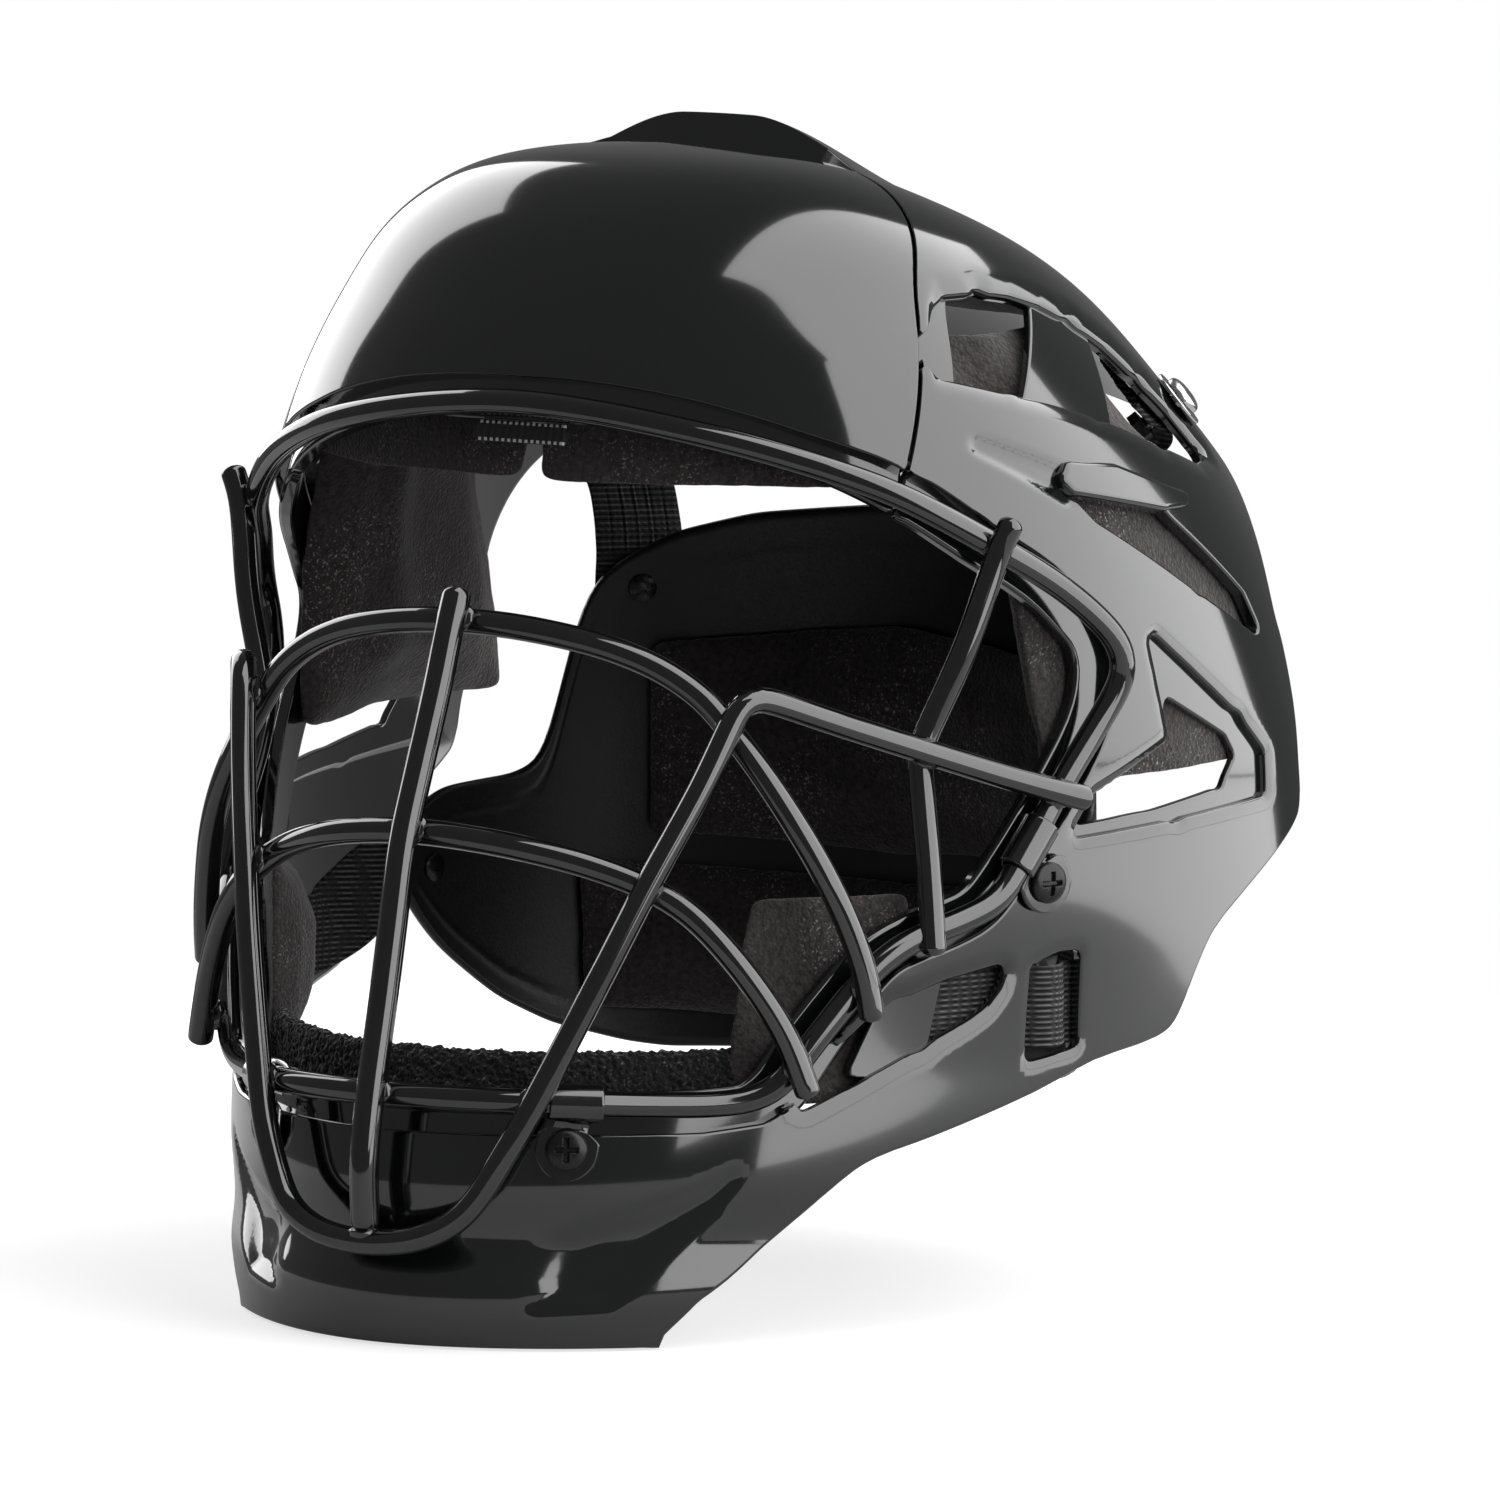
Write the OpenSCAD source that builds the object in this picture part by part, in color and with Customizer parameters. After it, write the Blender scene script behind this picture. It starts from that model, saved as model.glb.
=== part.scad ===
// Umpire helmet: open-back face mask with a wire cage, a spring-loaded back plate and soft liner.
// Wearer faces -Y, wearer's left is +X, up is +Z. Millimetres.

/* [Shell] */
// Wall thickness of the moulded shell.
wall = 3.2; // [2.4:0.1:5]
// Height of the bare crown above the chin rest.
crown_z = 268.5; // [240:0.5:290]
// Height of the raised centre hump on the crown.
hump_h = 8.6; // [3:0.5:12]
// Half width of the crown hump.
hump_w = 45; // [25:1:60]
// How far the recessed flange of the face opening sits under the outer skin.
flange_step = 3.6; // [2:0.1:6]
// Reach of the outer skin edge beyond the wire path.
skin_gap = 5.6; // [4:0.1:9]
// Reach of the flange past the wire path, into the opening.
flange_reach = 4; // [2:0.5:8]
// Gap left in the seam between the brow panel and the main shell.
seam_gap = 0.5; // [0.2:0.1:1.5]
// Rounding of the vent corners.
vent_r = 1.6; // [1:0.2:4]
// Radius of the screw holes in the shell.
hole_r = 2.2; // [1.8:0.1:3]

/* [Cage] */
// Radius of the cage wire.
wire_r = 3; // [2:0.1:3.5]
// Radius of the centre bar, which is a heavier wire.
bar_r = 3.4; // [2:0.1:4]
// Sides of the wire section.
wire_sides = 8; // [6:1:12]

/* [Clips and screws] */
// Sheet thickness of the cage clips.
clip_t = 1.3; // [0.8:0.1:2.5]
// Width of a clip tab.
clip_w = 14.5; // [10:0.5:20]
// Clearance between a clip and the wire it holds.
clip_gap = 0.2; // [0.1:0.05:0.5]
// Radius of a clip screw head.
head_r = 4.8; // [3.5:0.1:6]
// Height of a clip screw head.
head_h = 2.2; // [1.5:0.1:4]
// Radius of a screw shank.
shank_r = 2; // [1.5:0.1:2.5]

/* [Back plate] */
// Half width of the plate's plan curve.
plate_x = 90; // [75:1:100]
// Depth of the plate's plan curve.
plate_y = 84; // [60:1:100]
// Thickness of the plate.
plate_t = 3; // [2:0.1:5]

/* [Liner and straps] */
// Clearance between soft pieces and what they sit on.
soft_gap = 0.4; // [0.3:0.1:1]
// Thickness of the brow pads.
brow_t = 13; // [8:0.5:18]
// Thickness of the side pads.
side_t = 17; // [10:0.5:24]
// Thickness of the chin pad.
chin_t = 13; // [8:0.5:20]
// Thickness of the woven elastic.
strap_t = 1.6; // [1:0.1:3]
// Width of the woven elastic.
strap_w = 25; // [18:1:32]

/* [Hidden] */
$fn = 18;
rows = 18;
cols = 36;
flange_t = wall;
z_low = -12;
// Height of the flat bottom edge of the chin.
chin_z = 2.6;
// Height above which the hump stands proud of the brow panel.
hump_low = 245;
// Heights over the ears stretch with the crown.
ear_z = 213;
table_top = 268.5;
function up_z(z) = z <= ear_z ? z : ear_z + (z - ear_z) * (crown_z - ear_z) / (table_top - ear_z);
function down_z(z) = z <= ear_z ? z : ear_z + (z - ear_z) * (table_top - ear_z) / (crown_z - ear_z);
// The frame's origin is where the wearer's head meets the crown pad.
seat = [0, -40, up_z(249)];

// Section tables: height, then value. Half width, front reach, widest point, rear reach, squareness.
tab_w = [[-12, 118], [0, 119], [40, 121], [80, 121.5], [118, 121.5], [150, 117.5], [175, 113.5], [194,
    107.5],
    [207, 101.5], [222, 93], [235, 84.5], [247, 74.5], [257, 60], [264, 43], [267.3, 23], [268.5, 0]];
tab_f = [[-12, -176.5], [0, -177], [16, -177.5], [26, -173.6], [40, -174.5], [60, -171], [110, -158],
    [160, -140], [181, -130], [200, -122.5],
    [222, -117.5], [235, -111.5], [247, -104], [257, -95], [264, -85], [267.3, -74], [268.5, -60]];
tab_c = [[-12, 22], [60, 22], [120, 12], [160, -4], [181, -15], [207, -29], [235, -39], [260, -57],
    [268.5, -60]];
tab_r = [[-12, 110], [120, 106], [160, 99], [181, 88], [194, 78], [207, 64], [222, 50], [235, 34],
    [247, 11],
    [257, -14], [264, -33], [267.3, -48], [268.5, -60]];
tab_n = [[-12, 1.9], [60, 1.92], [100, 2.05], [150, 2.3], [200, 2.35], [235, 2.3], [268.5, 2.2]];

function find(t, x, i = 0) = (i >= len(t) - 2 || x < t[i + 1][0]) ? i : find(t, x, i + 1);
function slope(t, i) = let (a = max(i - 1, 0), b = min(i + 1,
    len(t) - 1)) (t[b][1] - t[a][1]) / (t[b][0] - t[a][0]);
function ease(t, q) =
    let (x = min(max(q, t[0][0]), t[len(t) - 1][0]), i = find(t, x), h = t[i + 1][0] - t[i][0],
        s = (x - t[i][0]) / h)
    (2 * s ^ 3 - 3 * s ^ 2 + 1) * t[i][1] + (s ^ 3 - 2 * s ^ 2 + s) * h * slope(t, i)
    + (3 * s ^ 2 - 2 * s ^ 3) * t[i + 1][1] + (s ^ 3 - s ^ 2) * h * slope(t, i + 1);
function step(a, b, x) = let (s = min(max((x - a) / (b - a), 0), 1)) s * s * (3 - 2 * s);

// Raised hump along the crown, as a height to add at a point of the upper surface.
function hump(x, y) = hump_h * (1 - step(hump_w * 0.62, hump_w, abs(x))) * step(-62, -40,
    y) * (1 - step(-30, 26, y));

// A point of the shell surface, pushed inward by d. a = 0 is the front centre, 90 the wearer's left.
function skin(z, a, d = 0, up = 0) =
    let (zz = down_z(z + d * (max(z, 0) / crown_z) ^ 3), n = ease(tab_n, zz), w = max(ease(tab_w,
        zz) - d, 0.01),
        c0 = ease(tab_c, zz), f = ease(tab_f, zz) + d, r = ease(tab_r, zz) - d,
        c = min(max(c0, f + 0.01), r - 0.01), k = cos(a), s = sin(a),
        x = w * sign(s) * abs(s) ^ (2 / n),
        y = k >= 0 ? c - (c - f) * abs(k) ^ (2 / n) : c + (r - c) * abs(k) ^ (2 / 2.2))
    [x, y, z + (up > 0 && z > 190 ? hump(x, y) : 0)];

// Closed solid bounded by the shell surface pushed inward by d.
module body(d = 0, up = 0) {
    top = crown_z - d;
    pts = [for (i = [0:rows - 1]) let (z = z_low + (top - z_low) * sin(90 * i / rows))
        for (j = [0:cols - 1]) skin(z, 360 * j / cols, d, up)];
    last = skin(top - 0.001, 0, d, up);
    all = concat(pts, [[0, last[1], last[2]]], [[0, 0, z_low]]);
    tip = len(pts);
    faces = concat(
        [for (i = [0:rows - 2]) for (j = [0:cols - 1]) [i * cols + j, (i + 1) * cols + j,
            (i + 1) * cols + (j + 1) % cols]],
        [for (i = [0:rows - 2]) for (j = [0:cols - 1]) [i * cols + j, (i + 1) * cols + (j + 1) % cols,
            i * cols + (j + 1) % cols]],
        [for (j = [0:cols - 1]) [(rows - 1) * cols + j, tip, (rows - 1) * cols + (j + 1) % cols]],
        [for (j = [0:cols - 1]) [(j + 1) % cols, tip + 1, j]]);
    polyhedron(points = all, faces = faces, convexity = 8);
}

// Prism across the helmet over a side-view outline of [y, z] points.
module across(outline, x0 = -160, x1 = 160)
    translate([x0, 0, 0]) rotate([90, 0, 90]) linear_extrude(height = x1 - x0) polygon(outline);

// Side view of the face opening, grown by g beyond the wire path.
function opening(g) = [[-300, 213 + g], [-118, 213 + g], [-103.5, 202.6 + g], [-91.3 + 0.5 * g,
    194.1 + 0.9 * g],
    [-77.5 + 0.6 * g, 182.2 + 0.8 * g], [-63 + 0.7 * g, 171.9 + 0.7 * g], [-53.5 + 0.9 * g,
        162.5 + 0.4 * g],
    [-49 + g, 156], [-48.6 + g, 149.5], [-52.5 + g, 139.3 - 0.3 * g], [-64 + 0.9 * g, 123.5 - 0.5 * g],
    [-76 + 0.8 * g, 107 - 0.6 * g], [-82 + 0.6 * g, 100 - 0.8 * g], [-89 + 0.3 * g, 96.8 - g],
    [-100.6 + 0.4 * g, 92.5 - 0.9 * g], [-108.5 + 0.7 * g, 86.5 - 0.7 * g], [-118.4 + 0.8 * g,
        73.5 - 0.6 * g],
    [-126 + 0.7 * g, 62 - 0.7 * g], [-131 + 0.4 * g, 58 - 0.9 * g], [-140, 57 - g], [-300, 57 - g]];

// Side view of everything behind and below the shell's rear and jaw edge.
rear_cut = [[-148.4, -30], [-148, 5.2], [-142.1, 12.9], [-125.7, 27.1], [-113.4, 38.5], [-105.4, 43.4],
    [-91.5, 47.4],
    [-65.6, 55.1], [-48.5, 60.9], [-28.2, 64.5], [-21.2, 69.1], [-13.9, 81.5], [-5.4, 90.7], [22.8,
        107.7], [28.2, 114],
    [29.4, 123.3], [31.5, 137], [31.5, 150], [30, 158], [31, 169], [34.5, 180.5], [42, 192], [52, 201],
        [60, 207],
    [62, 212], [62, 300], [220, 300], [220, -30]];
// Side view of the seam between brow panel and main shell.
seam_line = [[-36, 300], [-36, 267], [-50, 258.5], [-67, 243], [-77, 224], [-89, 199], [-94, 188]];
function seam(o) = concat([for (p = seam_line) [p[0] + o, up_z(p[1])]], [[-300, 188], [-300, up_z(300)]]);

// Side views of the crown vent: the front part, the strut behind it and the rear part.
vent_a = [[-75.1, 222.6], [-74, 227], [-66, 232.9], [-61.3, 235.3], [-50, 235.4], [-40, 216], [-59.1,
    218.4]];
vent_b = [[-50, 235.4], [-39.3, 233.8], [-29, 231], [-19, 226.6], [-27.9, 210.2], [-40, 213.6], [-52, 217]];
vent_c = [[-19, 226.6], [-6.8, 220.2], [4.6, 211.7], [-3.8, 201.8], [-27.9, 210.2]];
vent_d = [[4.6, 211.7], [15.2, 203.9], [20.6, 196.6], [13.2, 196.4], [-3.8, 201.8]];
vent_strut = [[-52, 212], [-38, 224], [-29, 234], [-12, 226], [-24, 205]];
// Slit behind the temple, with the groove that leads into it and the raised lip over it.
slit_a = [[-49.5, 193.6], [-29.5, 188.2], [-17, 183.4], [-8.3, 167.6], [-42.3, 186.3]];
slit_b = [[-17, 183.4], [11.4, 162.5], [15.6, 155.6], [8.4, 160.3], [-8.3, 167.6]];
slit_groove = [[-71.3, 204], [-50.8, 195.6], [-50.8, 192]];
slit_lip = [[-50.8, 195], [-48.4, 197.4], [-32.5, 195.6], [-7, 187], [-17, 186.6], [-29.5, 189.6],
    [-48.9, 192.8]];
// Ear opening: the sunk border first, then the hole.
ear_rim_a = [[-28, 155.9], [-22.4, 144.6], [-23.5, 132], [2.1, 134.9], [-13, 143.7]];
ear_rim_b = [[2.1, 134.9], [11, 126.4], [10.4, 118.6], [-23.7, 116.5], [-23.5, 132]];
ear_rim_c = [[-23.7, 116.5], [-55.5, 115], [-50.5, 121.7], [-26.5, 131.1], [-23.5, 132]];
ear_a = [[-22.6, 141], [-23.7, 133.1], [-26, 131.1], [-5, 122], [0.2, 127.4], [-2.2, 131]];
ear_b = [[-26, 131.1], [-50, 121.2], [-54, 117.6], [-30, 119], [-5, 122]];
// Jaw vent and the strut across it.
jaw_a = [[-120.6, 57.4], [-115, 65.6], [-106.9, 73.2], [-100, 77], [-95.5, 69.7], [-109.1, 63.4]];
jaw_b = [[-100, 77], [-88.8, 81], [-76.4, 83.4], [-77.2, 81], [-80, 77.6], [-83.5, 75.4], [-95.5, 69.7]];
jaw_strut = [[-101, 81], [-91, 84], [-94.6, 76.5], [-94, 68], [-104, 62.5], [-109, 63.5], [-101.5, 73]];
strap_slot = [[-66.6, 64.2], [-55, 66], [-55.2, 85.4], [-59.8, 85.4], [-66, 83.4]];
// Scooped recess low on each side of the chin.
chin_scoop = [[-166, 13], [-165, 19], [-161, 27], [-157, 30], [-146, 35], [-135, 41], [-138, 34],
    [-149, 23], [-157, 14]];

// Rounded cutter through one side wall; side is 1 for the wearer's left.
module window(outline, side, x0 = 60, x1 = 135)
    hull() for (p = outline) translate([side > 0 ? x0 : -x1, p[0], up_z(p[1])]) rotate([0, 90,
        0]) cylinder(r = vent_r, h = x1 - x0, $fn = 8);
// The same outlines as shallow recesses of a given depth.
module recess(outlines, side, depth, x0 = 60) difference() {
    for (v = outlines) window(v, side, x0);
    body(depth);
}
module vents(side) {
    for (v = [vent_a, vent_b, vent_c, vent_d]) window(v, side, 30);
    for (v = [slit_a, slit_b, jaw_a, jaw_b, strap_slot, ear_a, ear_b]) window(v, side);
    recess([ear_rim_a, ear_rim_b, ear_rim_c], side, 1.8);
    recess([slit_groove], side, 1.2);
    recess([chin_scoop], side, 2.2, 20);
}
// Struts inside the vents, sunk below the outer skin.
module struts(side) intersection() {
    difference() {
        body(1.7);
        body(wall + 1.2);
    }
    union() {
        window(vent_strut, side, 30);
        window(jaw_strut, side);
    }
}
module lip(side) intersection() {
    difference() {
        body(-1);
        body(2);
    }
    window(slit_lip, side);
}

// Screw stations: [x, y, z, turn of the outward normal from +X, rise of the normal].
function spot(z, a) = let (p = skin(z, a),
    n = unit(cross(skin(z, a + 0.5) - skin(z, a - 0.5), skin(z + 0.5, a) - skin(z - 0.5, a))))
    [p[0], p[1], p[2], atan2(n[1], n[0]), asin(n[2])];
chin_at = spot(48.1, 20.6);
side_at = spot(104.3, 62.8);
snap_at = spot(206.2, 121.8);
module side_of(side) mirror([side > 0 ? 0 : 1, 0, 0]) children();
module at(s, side) side_of(side) translate([s[0], s[1], s[2]]) rotate([0, 90 - (len(s) > 4 ? s[4] : 0),
    s[3]]) children();
module screw_holes() for (side = [-1, 1]) for (s = [chin_at, side_at, snap_at]) at(s, side) {
    translate([0, 0, -20]) cylinder(r = hole_r, h = 40, $fn = 16);
    translate([0, 0, -wall - 12]) cylinder(r = 5, h = 12, $fn = 16);
}

// Recessed flange round the face opening, with the ledge that joins it to the outer skin.
module flange() {
    difference() {
        intersection() {
            body(flange_step);
            across(opening(skin_gap + 3.3));
        }
        body(flange_step + flange_t);
        across(opening(-flange_reach));
    }
    difference() {
        intersection() {
            body(wall - 0.5);
            across(opening(skin_gap + 3.3));
        }
        body(flange_step + flange_t);
        across(opening(skin_gap - 0.8));
    }
}

// Front wall of the hump, from its top down to the brow panel.
module hump_front() difference() {
    intersection() {
        body(0, 1);
        across(seam(seam_gap / 2 + wall));
    }
    body(wall - 0.1);
    across(seam(seam_gap / 2));
    across(opening(skin_gap));
    translate([-200, -300, -10]) cube([400, 600, 10 + up_z(hump_low)]);
}

module main_shell() color([0.02, 0.02, 0.022]) translate(-seat) difference() {
    union() {
        difference() {
            body(0, 1);
            body(wall, 1);
            across(opening(skin_gap));
            across(seam(seam_gap / 2));
            for (side = [-1, 1]) vents(side);
        }
        difference() {
            flange();
            across(seam(seam_gap / 2));
        }
        for (side = [-1, 1]) {
            struts(side);
            lip(side);
        }
        hump_front();
    }
    across(rear_cut);
    translate([-200, -300, -40]) cube([400, 600, 40 + chin_z]);
    screw_holes();
}

// The panel has a lap along its seam that reaches under the main shell.
lap = 9;
module brow_lap() difference() {
    union() {
        intersection() {
            body(wall + 0.2);
            across(seam(lap));
        }
        intersection() {
            body(wall - 0.5);
            across(seam(-seam_gap / 2 - 0.6));
        }
    }
    body(wall + 2.2);
    across(seam(-6));
    across(opening(skin_gap + 3.6));
}
// Stiffening ribs inside the panel.
module brow_rib(side, k) intersection() {
    difference() {
        body(wall - 0.5);
        body(wall + 1.6);
    }
    hull() for (y = [-112, -84]) translate([side * (12 + 16 * k), y,
        up_z(236 - 5 * k)]) cylinder(r = 1, h = 44, $fn = 8);
    across(seam(-8));
}
module brow_panel() color([0.02, 0.02, 0.022]) translate(-seat) union() {
    intersection() {
        across(seam(-seam_gap / 2));
        union() {
            difference() {
                body(0);
                body(wall);
                across(opening(skin_gap));
            }
            flange();
        }
    }
    brow_lap();
    for (side = [-1, 1]) for (k = [0:3]) brow_rib(side, k);
}

// Smooth path through control points: n steps per span.
function bend(p, n) = let (m = len(p)) concat([for (i = [0:m - 2]) for (k = [0:n - 1])
    let (s = k / n, a = p[max(i - 1, 0)], b = p[i], c = p[i + 1], d = p[min(i + 2, m - 1)])
    0.5 * ((2 * b) + (c - a) * s + (2 * a - 5 * b + 4 * c - d) * s ^ 2 + (3 * b - a - 3 * c + d) * s ^ 3)], [p[m - 1]]);
function unit(v) = v / norm(v);
function both(p) = concat([for (i = [len(p) - 1:-1:1]) [-p[i][0], p[i][1], p[i][2]]], p);

// Round wire along a path; shut joins the ends into a loop.
module wire(path, r, shut = false, aim = [0.02, 1, 0.03], sides = wire_sides) {
    m = len(path);
    pts = [for (i = [0:m - 1])
        let (a = path[shut ? (i + m - 1) % m : max(i - 1, 0)], b = path[shut ? (i + 1) % m : min(i + 1,
            m - 1)],
            t = unit(b - a), u = unit(cross(t, aim)), v = cross(t, u))
        for (k = [0:sides - 1]) path[i] + r * (u * cos(360 * k / sides) + v * sin(360 * k / sides))];
    spans = shut ? m - 1 : m - 2;
    faces = concat(
        [for (i = [0:spans]) for (k = [0:sides - 1])
            [i * sides + k, i * sides + (k + 1) % sides, ((i + 1) % m) * sides + (k + 1) % sides]],
        [for (i = [0:spans]) for (k = [0:sides - 1])
            [i * sides + k, ((i + 1) % m) * sides + (k + 1) % sides, ((i + 1) % m) * sides + k]],
        shut ? [] : [[for (k = [sides - 1:-1:0]) k], [for (k = [0:sides - 1]) (m - 1) * sides + k]]);
    translate(-seat) polyhedron(points = pts, faces = faces, convexity = 6);
}

rim_half = [[0, -121, 213], [22, -119.5, 211.6], [46, -114.8, 207.8], [66, -106.6, 202.6], [86, -92.8,
    194.1],
    [102, -77.5, 182.2], [111.3, -63, 171.9], [117.4, -53.5, 162.5], [119.4, -49.3, 156], [118.6,
        -48.4, 149],
    [115, -53, 139.3], [110.5, -64, 123.5], [107.5, -75, 108], [105.5, -81, 101], [101, -88.7, 97],
        [94.5, -99.5, 93],
    [89, -108, 86.5], [82.4, -118.2, 73.5], [76.6, -125.6, 62.5], [72, -130, 58.8], [65, -137, 57.6],
        [53, -149, 58],
    [42.5, -159.6, 58.8], [30, -168.5, 59.4], [16, -173, 59.6], [0, -174.5, 59.6]];
u_half = [[0, -181.5, 26.3], [10.4, -181.3, 27.3], [17.5, -180.2, 29.5], [23.5, -178.5, 33.2], [28.2,
    -176.3, 39.4],
    [32.4, -174, 47.4], [37, -170, 57.6], [48, -158.3, 86.8], [55.4, -149.4, 108], [63, -139.4, 129.2],
        [67.6, -132.6, 145],
    [68.9, -130.6, 148.2], [70.6, -128, 149.6], [73.2, -124.6, 148.9], [84, -109, 142.2], [105.2, -79,
        129.8], [117, -61.6, 123.5]];
upper_half = [[0, -141.4, 164.6], [12.4, -141.2, 164.2], [24.7, -139.6, 162.7], [36.6, -136.8, 160.1],
    [48.3, -133.4, 155.6],
    [58, -130.6, 149.2], [64.8, -128.6, 141.5], [72, -126.6, 132], [79.4, -124, 120.4], [85, -120.6, 109],
    [89, -116.8, 97], [91.4, -114, 86], [92, -112.6, 77.5]];
lower_half = [[0, -161, 118.2], [12.4, -160.2, 117.6], [26, -157.4, 115.8], [39.6, -151.4, 112.3],
    [51.6, -145, 107.4],
    [61, -141, 101.6], [69, -137.4, 93], [75.6, -133, 82.6], [80.4, -129.4, 72.4], [84, -127, 61]];
centre_line = [[0, -144.5, 170.5], [0, -148, 162], [0, -152.4, 150], [0, -160, 132], [0, -166.4, 116],
    [0, -170.6, 98],
    [0, -175, 79], [0, -179.8, 60], [0, -182.3, 45], [0, -181.9, 31.2]];
side_line = [[107.8, -78.6, 187], [104.8, -79.6, 179.9], [99.6, -84.4, 159.8], [92.9, -88.6, 142], [91,
    -90.4, 135.5],
    [92.4, -91.5, 124.6], [96, -94.6, 108.9], [99.2, -97.6, 91.5]];

module perimeter_wire() color([0.03, 0.03, 0.03])
    wire([for (q = [bend(both(rim_half), 1)]) for (i = [0:len(q) - 2]) q[i]], wire_r, true);
module u_bar() color([0.03, 0.03, 0.03]) wire(bend(both(u_half), 1), wire_r);
module upper_bar() color([0.03, 0.03, 0.03]) wire(bend(both(upper_half), 1), wire_r);
module lower_bar() color([0.03, 0.03, 0.03]) wire(bend(both(lower_half), 1), wire_r);
module centre_bar() color([0.03, 0.03, 0.03]) wire(bend(centre_line, 1), bar_r, aim = [1, 0, 0]);
module side_bar_left() color([0.03, 0.03, 0.03]) wire(bend(side_line, 1), wire_r, aim = [0, 1, 0.2]);
module side_bar_right() color([0.03, 0.03, 0.03]) mirror([1, 0, 0]) side_bar_left();

// Soft patch that follows the shell from depth d0(z, a) inward by t, with crowned edges.
module patch(z0, z1, a0, a1, d0, t, nz = 6, na = 10, edge = 0.25, puff = 0.5) {
    function crown(u, v) = edge + (1 - edge) * (1 - abs(2 * u - 1) ^ 4) * (1 - abs(2 * v - 1) ^ 4);
    pts = concat(
        [for (i = [0:nz]) for (j = [0:na]) let (z = z0 + (z1 - z0) * i / nz,
            a = a0 + (a1 - a0) * j / na) skin(z, a, d0(z, a))],
        [for (i = [0:nz]) for (j = [0:na])
            let (z = z0 + (z1 - z0) * i / nz, a = a0 + (a1 - a0) * j / na) skin(z, a, d0(z,
                a) + t * crown(i / nz, j / na))]);
    w = na + 1;
    o = (nz + 1) * w;
    faces = concat(
        [for (i = [0:nz - 1]) for (j = [0:na - 1]) each [[i * w + j, (i + 1) * w + j,
            (i + 1) * w + j + 1], [i * w + j, (i + 1) * w + j + 1, i * w + j + 1]]],
        [for (i = [0:nz - 1]) for (j = [0:na - 1]) each [[o + i * w + j, o + (i + 1) * w + j + 1,
            o + (i + 1) * w + j], [o + i * w + j, o + i * w + j + 1, o + (i + 1) * w + j + 1]]],
        [for (j = [0:na - 1]) each [[j, j + 1, o + j + 1], [j, o + j + 1, o + j]]],
        [for (j = [0:na - 1]) each [[nz * w + j, o + nz * w + j, o + nz * w + j + 1], [nz * w + j,
            o + nz * w + j + 1, nz * w + j + 1]]],
        [for (i = [0:nz - 1]) each [[i * w, o + i * w, o + (i + 1) * w], [i * w, o + (i + 1) * w,
            (i + 1) * w]]],
        [for (i = [0:nz - 1]) each [[i * w + na, (i + 1) * w + na, o + (i + 1) * w + na], [i * w + na,
            o + (i + 1) * w + na, o + i * w + na]]]);
    translate(-seat) polyhedron(points = pts, faces = faces, convexity = 6);
}
// Depth of the shell's inner face: over the flange, and elsewhere.
liner = flange_step + flange_t + soft_gap;
bare = wall + soft_gap;
under_lap = wall + 2.2 + soft_gap;
module brow_pad_left() color([0.1, 0.09, 0.09])
    patch(201, up_z(234), 2, 52, function(z, a) liner + 0.3 - (liner - under_lap) * step(222, 230, z),
        brow_t);
module brow_pad_right() color([0.1, 0.09, 0.09]) mirror([1, 0, 0]) brow_pad_left();
module side_pad_left() color([0.1, 0.09, 0.09])
    patch(126, 184, 67, 105, function(z, a) liner + 0.5 - (liner - bare - 0.2) * step(76, 84, a),
        side_t, na = 12);
module side_pad_right() color([0.1, 0.09, 0.09]) mirror([1, 0, 0]) side_pad_left();
module jaw_pad_left() color([0.1, 0.09, 0.09])
    patch(69, 102, 34, 50.5, function(z, a) bare + 1.5 + (liner - bare - 1) * step(50, 58,
        z - 1.27 * (a - 34)), brow_t);
module jaw_pad_right() color([0.1, 0.09, 0.09]) mirror([1, 0, 0]) jaw_pad_left();
module crown_pad() color([0.1, 0.09, 0.09])
    patch(up_z(234), up_z(251), 106, 254, function(z, a) bare + 0.3, brow_t + 1, na = 14);
module chin_pad() color([0.06, 0.06, 0.06])
    patch(18, 67.5, -36, 36, function(z, a) bare + 0.4 + (liner - bare + 0.95) * step(27, 42, z),
        chin_t, na = 14);

// Small rubber bumper on the brow flange, behind the wire.
bumper = [24, 5.2, 1];
module brow_bumper() color([0.05, 0.05, 0.05]) translate(-seat)
    translate([-bumper[0] / 2, ease(tab_f, 204) + flange_step - bumper[2] - 0.3, 203.4])
        rotate([-13, 0, 0]) cube([bumper[0], bumper[2], bumper[1]]);

// Back plate: a cupped sheet on an oval plan, with wings low down at the sides.
plate_c = [-36, 105];
plate_cup = 0.0013;
plate_top = [[0, 175], [25, 171.5], [38, 167], [48, 160], [53, 153], [56, 138], [58, 120], [61, 112],
    [66, 109.5], [80, 108], [87, 104], [91, 95]];
plate_low = [[0, 44.5], [40, 44.5], [47, 46], [60, 51], [70, 58], [82, 71], [88, 80], [91, 86]];
plate_at = [0, 8, 16, 24, 32, 39, 45, 50, 53, 55, 57, 59, 62, 68, 75, 81, 86, 89, 91];
function plate_pt(p, z, d) = let (g = d + plate_cup * (z - plate_c[1]) ^ 2)
    [(plate_x - g) * sin(p), plate_c[0] + (plate_y - g) * cos(p), z];
function mirrored(v) = concat([for (i = [len(v) - 1:-1:1]) -v[i]], v);

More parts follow.
